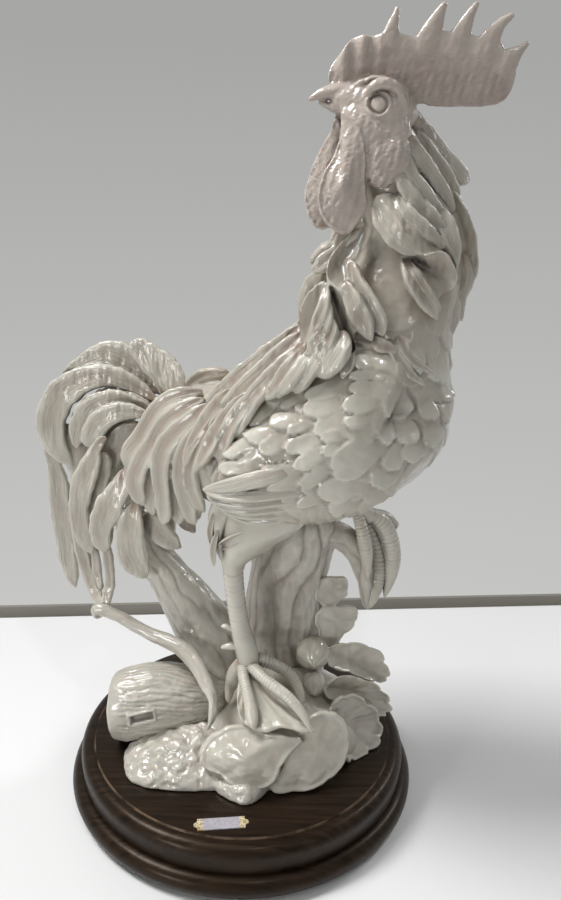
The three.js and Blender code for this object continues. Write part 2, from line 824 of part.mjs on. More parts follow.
export default rooster;
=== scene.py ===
import bpy
import numpy as np
from mathutils import Matrix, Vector
from mathutils.kdtree import KDTree


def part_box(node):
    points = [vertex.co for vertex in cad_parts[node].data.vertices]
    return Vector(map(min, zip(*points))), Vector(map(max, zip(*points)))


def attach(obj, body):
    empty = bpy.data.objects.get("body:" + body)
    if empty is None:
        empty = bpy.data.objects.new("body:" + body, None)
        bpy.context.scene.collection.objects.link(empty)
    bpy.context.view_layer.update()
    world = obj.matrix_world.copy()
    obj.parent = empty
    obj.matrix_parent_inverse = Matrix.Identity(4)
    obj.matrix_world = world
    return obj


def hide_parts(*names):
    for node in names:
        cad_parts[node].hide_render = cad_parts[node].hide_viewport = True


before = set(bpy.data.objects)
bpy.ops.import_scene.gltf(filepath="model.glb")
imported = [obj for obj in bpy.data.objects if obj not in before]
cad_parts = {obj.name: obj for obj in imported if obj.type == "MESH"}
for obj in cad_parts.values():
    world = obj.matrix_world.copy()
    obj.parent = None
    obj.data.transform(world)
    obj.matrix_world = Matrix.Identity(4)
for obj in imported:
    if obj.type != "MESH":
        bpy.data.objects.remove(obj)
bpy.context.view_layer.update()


# Camera: a short lens held just above the comb, 0.41 m in front of the bird. It looks 20 degrees down
# and leans 2 degrees, which gives the plinth its round look and the tail its small size.
MM = 0.001
IMAGE_WIDTH, IMAGE_HEIGHT = 561, 900
FOCAL_PIXELS = 850
SENSOR = 36
PITCH, LEAN = 0.34898, 0.03303
eye = np.array([16.33, -409.63, 350.85]) * MM
ahead = np.array([0, np.cos(PITCH), -np.sin(PITCH)])
level = np.array([1, 0, 0])
upright = np.array([0, np.sin(PITCH), np.cos(PITCH)])
view_right = level * np.cos(LEAN) + upright * np.sin(LEAN)
view_up = upright * np.cos(LEAN) - level * np.sin(LEAN)


def standing(axes, place):
    """The matrix of an object at a place, whose own x, y and z point along three axes."""
    return Matrix([*np.stack([*axes, place], axis=1).tolist(), [0, 0, 0, 1]])


lens = bpy.data.cameras.new("camera")
lens.sensor_width = SENSOR
lens.lens = FOCAL_PIXELS / IMAGE_HEIGHT * SENSOR
camera = bpy.data.objects.new("camera", lens)
camera.matrix_world = standing([view_right, view_up, -ahead], eye)
bpy.context.scene.collection.objects.link(camera)
bpy.context.scene.camera = camera
bpy.context.scene.view_settings.view_transform = "Standard"

plinth_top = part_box("wooden_plinth")[1][2]


def seen(rows):
    """Rows [px, py, y, ...] to rows [x, y, z, ...], in mm above the plinth: each point lies where the line
    of sight through the picture's point px, py meets the upright plane at y."""
    rows = np.array(rows, float)
    across = (rows[:, :1] - IMAGE_WIDTH / 2) / FOCAL_PIXELS
    rise = (IMAGE_HEIGHT / 2 - rows[:, 1:2]) / FOCAL_PIXELS
    sight = view_right * across + view_up * rise + ahead
    point = eye + sight * ((rows[:, 2:3] * MM - eye[1]) / sight[:, 1:2])
    rows[:, :3] = (point - [0, 0, plinth_top]) / MM
    return rows


def pictured(points):
    """The picture's points px, py at which points in space are seen."""
    sight = points - eye
    depth = sight @ ahead / FOCAL_PIXELS
    across, rise = sight @ view_right / depth, sight @ view_up / depth
    return np.stack([IMAGE_WIDTH / 2 + across, IMAGE_HEIGHT / 2 - rise], axis=-1)


# Light and ground: a white laminate desk with a low grey ledge along its back edge, whose dark grey is
# painted shade for the gap behind the desk, in a grey room. The room's wall is only a backdrop, painted
# lighter low and darker high where the window's light falls on it. A broad window high on the left gives
# the bright tops and a faint low one lights the hollows. Two narrow windows on the right give the thin
# streaks, and a small ceiling lamp gives the sparkles.
def linear(colour):
    """An sRGB hex colour as linear RGBA: x / 12.92 near black, else ((x + 0.055) / 1.055) ** 2.4."""
    parts = np.array([int(colour[i : i + 2], 16) / 255 for i in (1, 3, 5)])
    parts = np.where(parts < 0.04045, parts / 12.92, ((parts + 0.055) / 1.055) ** 2.4)
    return (*parts.tolist(), 1.0)


def add(tree, kind, inputs=None, **settings):
    """Adds a shader node. A value in inputs is set on its socket, and another node's output is linked."""
    node = tree.nodes.new("ShaderNode" + kind)
    for name, value in settings.items():
        setattr(node, name, value)
    for name, value in (inputs or {}).items():
        if isinstance(value, bpy.types.NodeSocket):
            tree.links.new(value, node.inputs[name])
        else:
            node.inputs[name].default_value = value
    return node


def blank(name):
    """An empty material, with its tree and the node that it ends in."""
    material = bpy.data.materials.new(name)
    material.use_nodes = True
    material.node_tree.nodes.clear()
    return material, material.node_tree, material.node_tree.nodes.new("ShaderNodeOutputMaterial")


SKY_COLOUR, SKY_LIGHT = "#eef0f2", 0.2
# Painted light: the backdrop that camera and glossy rays see is lighter low and darker high, as the window's
# light falls off up the wall.
WALL_LIT_LOW, WALL_SHADED_HIGH = "#c9c9c7", "#a7a7a6"
WALL_FROM, WALL_TO = -0.55, 0.1
world = bpy.data.worlds.new("room")
world.use_nodes = True
tree = world.node_tree
tree.nodes.clear()
rays = add(tree, "LightPath").outputs
seen_ray = add(tree, "Math", {0: rays["Is Camera Ray"], 1: rays["Is Transmission Ray"]}, operation="MAXIMUM")
seen_ray = add(tree, "Math", {0: seen_ray.outputs[0], 1: rays["Is Glossy Ray"]}, operation="MAXIMUM")
sky = add(tree, "Background", {"Color": linear(SKY_COLOUR), "Strength": SKY_LIGHT})
height = add(tree, "SeparateXYZ", {0: add(tree, "TexCoord").outputs["Generated"]}).outputs["Z"]
span = {"From Min": WALL_FROM, "From Max": WALL_TO}
height = add(tree, "MapRange", {"Value": height, **span}).outputs["Result"]
wall = add(tree, "Mix", {"Factor": height, "A": linear(WALL_LIT_LOW), "B": linear(WALL_SHADED_HIGH)}, data_type="RGBA")
wall = add(tree, "Background", {"Color": wall.outputs["Result"], "Strength": 1.0})
mixed = add(tree, "MixShader", {0: seen_ray.outputs[0], 1: sky.outputs[0], 2: wall.outputs[0]})
tree.links.new(mixed.outputs[0], add(tree, "OutputWorld").inputs["Surface"])
bpy.context.scene.world = world

DESK_HALF, DESK_FRONT, DESK_BACK = 0.9, -0.75, 0.182
DESK_THICKNESS, DESK_ROUND = 0.025, 0.007
DESK_TURN = np.radians(6.1)
LEDGE_HEIGHT, LEDGE_DEPTH = 0.0045, 0.006
SHARP_FROM = np.radians(40)


def plank(name, profile, material):
    """A plank of the desk: a closed profile [y, z] between x = -DESK_HALF and x = DESK_HALF."""
    count = len(profile)
    points = [[x, *row] for x in (-DESK_HALF, DESK_HALF) for row in profile]
    corner = np.arange(count)
    beside = (corner + 1) % count
    sides = np.stack([corner, beside, beside + count, corner + count], axis=-1).tolist()
    mesh = bpy.data.meshes.new(name)
    mesh.from_pydata(points, [], sides + [corner[::-1].tolist(), (corner + count).tolist()])
    mesh.shade_smooth()
    mesh.set_sharp_from_angle(angle=SHARP_FROM)
    mesh.materials.append(material)
    board = bpy.data.objects.new(name, mesh)
    board.rotation_euler.z = DESK_TURN
    bpy.context.scene.collection.objects.link(board)


PATCH_SCALE = 3.0


def matt(name, colour, roughness, speckle):
    """A plain matt surface, whose tone varies a little in patches about 0.3 m wide."""
    material, tree, end = blank(name)
    place = add(tree, "TexCoord").outputs["Object"]
    patch = add(tree, "TexNoise", {"Vector": place, "Scale": PATCH_SCALE, "Detail": 2.0}).outputs["Fac"]
    tone = add(tree, "Mix", {"Factor": patch, "A": linear(colour), "B": linear(speckle)}, data_type="RGBA")
    paint = add(tree, "BsdfPrincipled", {"Base Color": tone.outputs["Result"], "Roughness": roughness})
    tree.links.new(paint.outputs[0], end.inputs["Surface"])
    return material


bend = np.linspace(np.pi / 2, 0, 6)
desk_profile = [[DESK_BACK, -DESK_THICKNESS], [DESK_FRONT, -DESK_THICKNESS], [DESK_FRONT, 0]]
desk_profile += [[DESK_BACK + DESK_ROUND * (np.cos(a) - 1), DESK_ROUND * (np.sin(a) - 1)] for a in bend]
ledge_profile = [[DESK_BACK, -DESK_THICKNESS], [DESK_BACK + LEDGE_DEPTH, -DESK_THICKNESS]]
ledge_profile += [[DESK_BACK + LEDGE_DEPTH, LEDGE_HEIGHT], [DESK_BACK + LEDGE_DEPTH / 2, LEDGE_HEIGHT]]
plank("desk", desk_profile[::-1], matt("white_desk_laminate", "#f9f9f8", 0.55, "#f4f4f4"))
# The ledge's dark grey is painted shade: it stands for the shaded gap behind the desk's back edge.
plank("ledge", ledge_profile, matt("ledge_painted_shade", "#938f86", 0.6, "#8a867e"))


def window(name, place, target, width, height, power, spread=180):
    """An oblong white area lamp at place that faces target. Its light spreads over an angle in degrees."""
    lamp = bpy.data.lights.new(name, "AREA")
    lamp.shape = "RECTANGLE"
    lamp.size, lamp.size_y = width, height
    lamp.energy, lamp.spread = power, np.radians(spread)
    holder = bpy.data.objects.new(name, lamp)
    back = np.array(place, float) - target
    back /= np.linalg.norm(back)
    side = np.cross([0, 0, 1], back)
    side /= np.linalg.norm(side)
    holder.matrix_world = standing([side, np.cross(back, side), back], place)
    bpy.context.scene.collection.objects.link(holder)


window("window_left", (-0.52, -0.02, 1.0), (0.0, 0.0, 0.15), 0.35, 0.35, 9)
window("window_low", (-0.4, -0.55, 0.22), (0.02, 0.0, 0.1), 0.15, 0.15, 0.12, spread=55)
window("window_right_front", (0.55, -0.6, 0.75), (0.05, 0.0, 0.22), 0.03, 0.4, 0.25)
window("window_right_back", (0.7, 0.4, 0.75), (0.03, 0.0, 0.28), 0.05, 0.5, 2.2)
window("ceiling_lamp", (0.15, -0.5, 1.1), (0.03, 0.0, 0.2), 0.03, 0.03, 0.9)


# Castings: every limb, feather and branch is one closed skin round a smooth line, like clay on a wire.
# The line runs through rows [x, y, z, half width, half depth], in mm above the plinth. A skin is kept as a
# strand: its grid of points, their places on its surface in mm, and the share of pooled glaze on them.
def cubic(a, b, c, d, f):
    """The cubic from b to c at the share f, whose slope at b is half of c - a, and at c half of d - b."""
    return 0.5 * (2 * b + (c - a) * f + (2 * a - 5 * b + 4 * c - d) * f**2 + (3 * b - a - 3 * c + d) * f**3)


def flowing(rows, t):
    """Smooth curve through rows, cubic between two rows. The share t runs from 0 to 1, with equal parts
    for all spans."""
    rows = np.vstack([2 * rows[:1] - rows[1:2], rows, 2 * rows[-1:] - rows[-2:-1]])
    place = np.clip(t, 0, 1) * (len(rows) - 3)
    span = np.minimum(place.astype(int), len(rows) - 4)
    return cubic(*(rows[span + k] for k in range(4)), (place - span)[..., None])


def unit(vectors):
    """Vectors divided by their lengths."""
    return vectors / np.maximum(np.linalg.norm(vectors, axis=-1, keepdims=True), 1e-12)


SLOPE_STEP = 0.002


def spine(rows, face, t):
    """Centre, half sizes, across and out at the shares t. across is square to the line and to face, and
    out is square to both. The line's direction is taken over SLOPE_STEP to both sides."""
    rows = np.array(rows, float) * MM
    rows[:, 2] += plinth_top
    line = flowing(rows, t)
    along = flowing(rows[:, :3], t + SLOPE_STEP) - flowing(rows[:, :3], t - SLOPE_STEP)
    across = unit(np.cross(along, face))
    return line[..., :3], line[..., 3:], across, unit(np.cross(across, along))


def rounded(t, blunt):
    """1 along a form, falling to 0 as a quarter circle over the share blunt at both ends."""
    inside = np.clip(np.minimum(t, 1 - t) / blunt, 0, 1)
    return np.sqrt(1 - (1 - inside) ** 2)


def shares(rings, sides):
    """A grid of shares, close together at both ends, and of angles once round."""
    t = (1 - np.cos(np.linspace(0, np.pi, rings))) / 2
    angle = np.linspace(0, 2 * np.pi, sides, endpoint=False)
    return np.meshgrid(t, angle, indexing="ij")


EVEN_POOL, POOL_PER_MM, RELIEF_FADE = 0.35, 0.5, 0.04


def casting(rows, face, relief=None, rings=60, sides=48, blunt=0.1):
    """A form as a strand. Its section is an ellipse square to the line, whose half sizes fall to 0 over
    the share blunt at both ends. relief gives the lift in metres along the ellipse's normal. The glaze
    pools where that is low and runs off where it is high."""
    t, angle = shares(rings, sides)
    u, v = np.cos(angle), np.sin(angle)
    centre, half, across, out = spine(rows, face, t)
    width, depth = (half[..., k] * rounded(t, blunt) for k in (0, 1))
    ring = across * (width * u)[..., None] + out * (depth * v)[..., None]
    normal = unit(across * (depth * u)[..., None] + out * (width * v)[..., None])
    points = centre + ring
    lift = np.zeros_like(t) if relief is None else relief(points, t, angle) * rounded(t, RELIEF_FADE)
    chart = np.stack([np.zeros_like(t), t * 100], axis=-1)
    pool = np.clip(EVEN_POOL - lift / MM * POOL_PER_MM, 0, 1)
    return points + normal * lift[..., None], chart, pool


def waves(points, length, seed, octaves=4):
    """Uneven relief from about -1 to 1: sine waves in six random directions, whose length and height
    halve with each octave."""
    chance = np.random.default_rng(seed)
    height = np.zeros(points.shape[:-1])
    for octave in range(octaves):
        ways = unit(chance.normal(size=(6, 3))) * (2 * np.pi * 2**octave / (length * MM))
        height += np.sin(points @ ways.T + chance.uniform(0, 6.3, 6)).sum(axis=-1) / 3 / 2**octave
    return height / 2


CLEARANCE = 0.0003


def woven(name, strands):
    """A mesh of closed strands. The points of a strand are a grid (rings, sides, 3) whose first and last
    ring are single points: quads join the rings, triangles the two ends, and all faces look outwards. No
    point lies lower than CLEARANCE above the plinth's top, which leaves a seam for the glue."""
    points, chart, pool, quads, ends = [], [], [], [], []
    start = 0
    for grid, strand_chart, strand_pool in strands:
        rings, sides = grid.shape[:2]
        side = np.arange(sides)
        beside = (side + 1) % sides
        row = start + np.arange(rings - 3)[:, None] * sides
        band = np.stack([row + side, row + beside, row + beside + sides, row + side + sides], -1)
        band = band.reshape(-1, 4)
        root = start + (rings - 2) * sides
        rim = root - sides
        root_fan = np.stack([np.full(sides, root), start + beside, start + side], -1)
        tip_fan = np.stack([np.full(sides, root + 1), rim + side, rim + beside], -1)
        fans = np.concatenate([root_fan, tip_fan])
        around = np.roll(grid, -1, axis=1) - grid
        forwards = np.gradient(grid, axis=0)
        outwards = (np.cross(around, forwards) * (grid - grid.mean(axis=1, keepdims=True))).sum()
        if outwards < 0:
            band, fans = band[:, ::-1], fans[:, ::-1]
        for values, whole in ((points, grid), (chart, strand_chart), (pool, strand_pool[..., None])):
            values.append(whole[1:-1].reshape(-1, whole.shape[-1]))
            values.append(whole[[0, -1], 0])
        quads.append(band)
        ends.append(fans)
        start = root + 2
    points = np.concatenate(points)
    points[:, 2] = np.maximum(points[:, 2], plinth_top + CLEARANCE)
    mesh = bpy.data.meshes.new(name)
    mesh.from_pydata(points, [], np.concatenate(quads).tolist() + np.concatenate(ends).tolist())
    mesh.attributes.new("pool", "FLOAT", "POINT").data.foreach_set("value", np.concatenate(pool).ravel())
    corners = np.zeros(len(mesh.loops), int)
    mesh.loops.foreach_get("vertex_index", corners)
    mesh.uv_layers.new(name="chart").data.foreach_set("uv", np.concatenate(chart)[corners].ravel())
    return mesh


def placed(name, mesh, material, slot, *nodes):
    """A mesh as a smooth piece of the figurine, in a material, in place of the CAD's nodes."""
    mesh.shade_smooth()
    mesh.materials.append(material)
    piece = bpy.data.objects.new(name, mesh)
    bpy.context.scene.collection.objects.link(piece)
    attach(piece, "root")
    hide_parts(*nodes)


def skin(name, strands, material, slot, *nodes):
    """A piece woven of closed strands."""
    placed(name, woven(name, strands), material, slot, *nodes)


# Glaze: a clear lead glaze over cream earthenware, fired glossy. It runs thin over the edges, which look
# white, and lies thick in the hollows, where it turns a pinkish brown. Its creases are darkened further
# with painted shade. The scales count a pattern's features in a metre: the clouds in it are about 22 mm
# long, and the marks of the brush 3 mm. That of the barbs counts them in a millimetre, and they are 20
# times as long as they are wide.
CLOUD_SCALE, BRUSH_SCALE = 45.0, 330.0
BARB_SCALE, BARB_STRETCH = 0.9, 0.05
# How far the ambient occlusion reaches, and the occlusion at which the painted crease shade is full and at
# which it is gone.
CREASE_SHADE_REACH, CREASE_SHADE_FULL, CREASE_SHADE_NONE = 0.006, 0.25, 0.9
EDGE_SOFTNESS = 0.0007


def glaze(name, thin, thick, deep, roughness, bump, barbs=0.0):
    """Glaze from three colours: thin on the edges, thick in the hollows by the pool attribute, and deep
    in the creases, where it is painted shade found by ambient occlusion, partly for the thick glaze that
    lies there. bump is the height in mm of the waves left by the brush, and barbs that of the uneven
    grooves, about 1 mm apart, that a comb leaves along a feather."""
    material, tree, end = blank(name)
    place = add(tree, "TexCoord").outputs["Object"]
    pool = add(tree, "Attribute", attribute_name="pool").outputs["Fac"]
    cloud = add(tree, "TexNoise", {"Vector": place, "Scale": CLOUD_SCALE, "Detail": 3.0}).outputs["Fac"]
    depth = add(tree, "Math", {0: cloud, 1: 0.7, 2: -0.35}, operation="MULTIPLY_ADD").outputs[0]
    depth = add(tree, "Math", {0: depth, 1: pool}, operation="ADD", use_clamp=True).outputs[0]
    colour = add(tree, "Mix", {"Factor": depth, "A": linear(thin), "B": linear(thick)}, data_type="RGBA")
    # Painted shade: the creases darken towards the deep colour where ambient occlusion finds them, partly for
    # the thick glaze that lies there.
    crease_shade = add(tree, "AmbientOcclusion", {"Distance": CREASE_SHADE_REACH}, samples=6, only_local=True)
    span = {"From Min": CREASE_SHADE_FULL, "From Max": CREASE_SHADE_NONE, "To Min": 1.0, "To Max": 0.0}
    crease_shade = add(tree, "MapRange", {"Value": crease_shade.outputs["AO"], **span}).outputs["Result"]
    shades = {"Factor": crease_shade, "A": colour.outputs["Result"], "B": linear(deep)}
    colour = add(tree, "Mix", shades, data_type="RGBA").outputs["Result"]
    brushed = add(tree, "TexNoise", {"Vector": place, "Scale": BRUSH_SCALE, "Detail": 2.0}).outputs["Fac"]
    soft = add(tree, "Bevel", {"Radius": EDGE_SOFTNESS}, samples=4).outputs["Normal"]
    marks = {"Strength": 1.0, "Distance": bump * MM, "Height": brushed, "Normal": soft}
    normal = add(tree, "Bump", marks).outputs[0]
    if barbs:
        chart = add(tree, "Attribute", attribute_name="chart").outputs["Vector"]
        chart = add(tree, "Mapping", {"Vector": chart, "Scale": (1.0, BARB_STRETCH, 1.0)}).outputs[0]
        comb = {"Vector": chart, "Scale": BARB_SCALE, "Detail": 3.0, "Roughness": 0.6}
        streak = add(tree, "TexNoise", comb).outputs["Fac"]
        groove = {"Strength": 1.0, "Distance": barbs * MM, "Height": streak, "Normal": normal}
        normal = add(tree, "Bump", groove).outputs[0]
    surface = add(
        tree,
        "BsdfPrincipled",
        {
            "Base Color": colour,
            "Roughness": roughness,
            "IOR": 1.52,
            "Subsurface Weight": 0.12,
            "Subsurface Scale": 0.002,
            "Coat Weight": 0.6,
            "Coat Roughness": 0.05,
            "Coat IOR": 1.5,
            "Normal": normal,
        },
    )
    tree.links.new(surface.outputs[0], end.inputs["Surface"])
    return material


# The third colour of each glaze is the painted shade in its creases.
white_glaze = glaze("white_glazed_earthenware", "#d6d3c6", "#a89d8f", "#4a4038", 0.22, 0.2)
feather_glaze = glaze("combed_glazed_earthenware", "#d6d3c6", "#9a8b7c", "#4a4038", 0.26, 0.12, barbs=0.9)
blush_glaze = glaze("blush_glazed_earthenware", "#d3c8bd", "#a99a90", "#6e5e56", 0.22, 0.5)
rough_glaze = glaze("rough_glazed_earthenware", "#cfcbc0", "#a29a8e", "#5c544c", 0.3, 0.55)


# Turned plinth: dark stained hardwood, turned on a lathe and lacquered, with a flat top inside a fine
# groove, a rounded shoulder, a cove and a torus foot. The lacquer has worn to bare wood on the edge.
FELT = 1.5
TOP = plinth_top / MM
TORUS_RADIUS, TORUS_HEIGHT = 97.5, 12
COVE_RADIUS, COVE_HEIGHT, FILLET = 91, 2, 0.5
RIM_RADIUS, RIM_ROUND = 92, 6
TOP_EDGE, TOP_EDGE_ROUND = 84.4, 0.35
GROOVE_DEPTH, GROOVE_OUTSIDE, GROOVE_INSIDE = 0.8, 0.7, 0.3
BORE, COUNTERBORE, COUNTERBORE_TOP = 3.3, 11, 8.5
TURNING_STEPS = 256


def arc(radius, height, size, first, last, steps):
    """Points [radius, height] on an arc of a size round a centre, with its angles in quarter turns."""
    angle = np.linspace(first, last, steps) * np.pi / 2
    return np.stack([radius + size * np.cos(angle), height + size * np.sin(angle)], axis=-1)


def turned(name, profile):
    """A mesh turned on a lathe: the closed profile [radius, height], in mm, is carried round the upright
    axis in TURNING_STEPS steps."""
    radius, height = np.asarray(profile, float).T * MM
    angle = np.linspace(0, 2 * np.pi, TURNING_STEPS, endpoint=False)[:, None]
    points = np.stack([radius * np.cos(angle), radius * np.sin(angle), height + 0 * angle], axis=-1)
    count = len(profile)
    step, corner = np.meshgrid(np.arange(TURNING_STEPS), np.arange(count), indexing="ij")
    here, after = step * count, (step + 1) % TURNING_STEPS * count
    beside = (corner + 1) % count
    faces = np.stack([here + corner, after + corner, after + beside, here + beside], axis=-1)
    mesh = bpy.data.meshes.new(name)
    mesh.from_pydata(points.reshape(-1, 3), [], faces.reshape(-1, 4).tolist())
    return mesh


# Lacquered walnut: the grain runs along x, in streaks some 40 mm long and 2 mm wide. The satin lacquer is
# thin, so the wood shows brown through its gloss, and it has chipped off the top's edge in short lengths.
GRAIN_STRETCH, CHIP_SCALE = (6.0, 110.0, 40.0), 90.0
WEAR_CORE, WEAR_REACH = 0.2, 0.6
stained_walnut, tree, end = blank("lacquered_dark_walnut")
place = add(tree, "TexCoord").outputs["Object"]
fibre = add(tree, "Mapping", {"Vector": place, "Scale": GRAIN_STRETCH}).outputs[0]
fibre = {"Vector": fibre, "Scale": 4.0, "Detail": 6.0, "Distortion": 0.6}
grain = add(tree, "TexNoise", fibre).outputs["Fac"]
grain = add(tree, "MapRange", {"Value": grain, "From Min": 0.35, "From Max": 0.7}).outputs["Result"]
wood = add(tree, "Mix", {"Factor": grain, "A": linear("#120b07"), "B": linear("#2b1f16")}, data_type="RGBA")
around = add(tree, "SeparateXYZ", {0: place})
around = add(tree, "CombineXYZ", {0: around.outputs[0], 1: around.outputs[1]}).outputs[0]
radius = add(tree, "VectorMath", {0: around}, operation="LENGTH").outputs["Value"]
edge = add(tree, "Math", {0: radius, 1: TOP_EDGE * MM}, operation="SUBTRACT").outputs[0]
edge = add(tree, "Math", {0: edge}, operation="ABSOLUTE").outputs[0]
wear = {"From Min": WEAR_CORE * MM, "From Max": WEAR_REACH * MM, "To Min": 1.0, "To Max": 0.0}
edge = add(tree, "MapRange", {"Value": edge, **wear})
chips = add(tree, "TexNoise", {"Vector": place, "Scale": CHIP_SCALE, "Detail": 4.0}).outputs["Fac"]
chips = add(tree, "MapRange", {"Value": chips, "From Min": 0.4, "From Max": 0.6}).outputs["Result"]
worn = add(tree, "Math", {0: edge.outputs["Result"], 1: chips}, operation="MULTIPLY").outputs[0]
shades = {"Factor": worn, "A": wood.outputs["Result"], "B": linear("#6a5848")}
wood = add(tree, "Mix", shades, data_type="RGBA")
pores = add(tree, "Bump", {"Strength": 0.6, "Distance": 0.0001, "Height": grain}).outputs[0]
dull = add(tree, "MapRange", {"Value": grain, "To Min": 0.32, "To Max": 0.46}).outputs["Result"]
lacquer = add(
    tree,
    "BsdfPrincipled",
    {
        "Base Color": wood.outputs["Result"],
        "Roughness": dull,
        "IOR": 1.36,
        "Specular Tint": linear("#d2baa0"),
        "Coat Weight": 0.08,
        "Coat Roughness": 0.2,
        "Normal": pores,
    },
)
tree.links.new(lacquer.outputs[0], end.inputs["Surface"])

torus = TORUS_HEIGHT / 2
cove_foot = FELT + TORUS_HEIGHT
groove_floor = TOP - GROOVE_DEPTH
plinth_profile = np.vstack(
    [
        [[BORE, TOP], [BORE, COUNTERBORE_TOP], [COUNTERBORE, COUNTERBORE_TOP], [COUNTERBORE, FELT]],
        arc(TORUS_RADIUS - torus, FELT + torus, torus, -1, 1, 24),
        [[COVE_RADIUS, cove_foot], [COVE_RADIUS, cove_foot + COVE_HEIGHT]],
        [[RIM_RADIUS - FILLET, cove_foot + COVE_HEIGHT]],
        arc(RIM_RADIUS - RIM_ROUND, groove_floor - RIM_ROUND, RIM_ROUND, -0.02, 0.98, 14),
        [[TOP_EDGE + GROOVE_OUTSIDE, groove_floor], [TOP_EDGE + GROOVE_INSIDE, groove_floor]],
        arc(TOP_EDGE - TOP_EDGE_ROUND, TOP - TOP_EDGE_ROUND, TOP_EDGE_ROUND, 0, 1, 5),
    ]
)
plinth_mesh = turned("plinth_turning", plinth_profile)
placed("plinth_turning", plinth_mesh, stained_walnut, "walnut", "wooden_plinth")
plinth_mesh.set_sharp_from_angle(angle=SHARP_FROM)


# Name plate, felt, washer and bolt: a thin gilt plate with a bare silvery middle is stuck on the plinth.
# Under it, green felt covers the foot, and a zinc-plated bolt with a washer holds the casting.
PLATE_TURN = np.radians(7.4)
PLATE_FIELD, FIELD_FADE = 9.5, 0.8


def dressed(material, *nodes):
    """Gives the CAD's own pieces a material."""
    for node in nodes:
        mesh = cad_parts[node].data
        mesh.materials.clear()
        mesh.materials.append(material)


# Worn gilding: a warm, half dull metal with paler and browner specks about 1 mm wide.
gilt, tree, end = blank("worn_gilt_plate")
place = add(tree, "TexCoord").outputs["Object"]
plate_middle = np.mean([list(corner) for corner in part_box("name_plate")], axis=0).tolist()
plate_way = (np.cos(PLATE_TURN), np.sin(PLATE_TURN), 0)
along = add(tree, "VectorMath", {0: place, 1: plate_middle}, operation="SUBTRACT").outputs[0]
along = add(tree, "VectorMath", {0: along, 1: plate_way}, operation="DOT_PRODUCT").outputs["Value"]
along = add(tree, "Math", {0: along}, operation="ABSOLUTE").outputs[0]
span = {"From Min": PLATE_FIELD * MM - FIELD_FADE * MM, "From Max": PLATE_FIELD * MM}
ends = add(tree, "MapRange", {"Value": along, **span}).outputs["Result"]
speckle = add(tree, "TexNoise", {"Vector": place, "Scale": 900.0, "Detail": 3.0}).outputs["Fac"]
speckle = add(tree, "MapRange", {"Value": speckle, "From Min": 0.42, "From Max": 0.58}).outputs["Result"]
gold = add(tree, "Mix", {"Factor": speckle, "A": linear("#efe6c8"), "B": linear("#b39a62")}, data_type="RGBA")
bare = add(tree, "Mix", {"Factor": speckle, "A": linear("#c4bfca"), "B": linear("#b6b2bb")}, data_type="RGBA")
shades = {"Factor": ends, "A": bare.outputs["Result"], "B": gold.outputs["Result"]}
tone = add(tree, "Mix", shades, data_type="RGBA")
scuffs = add(tree, "Bump", {"Strength": 0.5, "Distance": 0.00005, "Height": speckle}).outputs[0]
foil = {"Base Color": tone.outputs["Result"], "Metallic": 0.35, "Roughness": 0.38, "Normal": scuffs}
tree.links.new(add(tree, "BsdfPrincipled", foil).outputs[0], end.inputs["Surface"])

# Pressed wool felt: quite dull, with curled fibres drawn as coarse as 1.4 mm, so that they show.
felt, tree, end = blank("green_pressed_felt")
place = add(tree, "TexCoord").outputs["Object"]
fibres = {"Vector": place, "Scale": 700.0, "Detail": 5.0, "Distortion": 1.5}
fibres = add(tree, "TexNoise", fibres).outputs["Fac"]
tone = add(tree, "Mix", {"Factor": fibres, "A": linear("#1d2a22"), "B": linear("#35473b")}, data_type="RGBA")
nap = add(tree, "Bump", {"Strength": 0.8, "Distance": 0.0003, "Height": fibres}).outputs[0]
cloth = {"Base Color": tone.outputs["Result"], "Roughness": 0.95, "Sheen Weight": 0.5, "Normal": nap}
tree.links.new(add(tree, "BsdfPrincipled", cloth).outputs[0], end.inputs["Surface"])

# Zinc plating: a pale satin metal, whose spangles are about 4 mm wide.
zinc, tree, end = blank("zinc_plated_steel")
place = add(tree, "TexCoord").outputs["Object"]
spangle = add(tree, "TexNoise", {"Vector": place, "Scale": 260.0, "Detail": 4.0}).outputs["Fac"]
tone = add(tree, "Mix", {"Factor": spangle, "A": linear("#9a9ea3"), "B": linear("#b9bbbd")}, data_type="RGBA")
dull = add(tree, "MapRange", {"Value": spangle, "To Min": 0.28, "To Max": 0.5}).outputs["Result"]
dents = add(tree, "Bump", {"Strength": 0.4, "Distance": 0.00005, "Height": spangle}).outputs[0]
plated = {"Base Color": tone.outputs["Result"], "Metallic": 1.0, "Roughness": dull, "Normal": dents}
tree.links.new(add(tree, "BsdfPrincipled", plated).outputs[0], end.inputs["Surface"])

dressed(gilt, "name_plate")
dressed(felt, "felt_disc")
dressed(zinc, "bolt_washer", "fixing_bolt")


# Feathers: rolled strips of clay, thick and rounded at the rims and hollow between them. Those of the far
# side, which the picture doesn't show, are the near ones mirrored in the bird's own middle plane.
FRONT, UP = [0, -1, 0], [0, 0, 1]
MIRROR_THROUGH, MIRROR_ACROSS = (0, 5), (0.254, 0.967)
RIM_POWER, BACK_SHARE = 0.45, 0.8


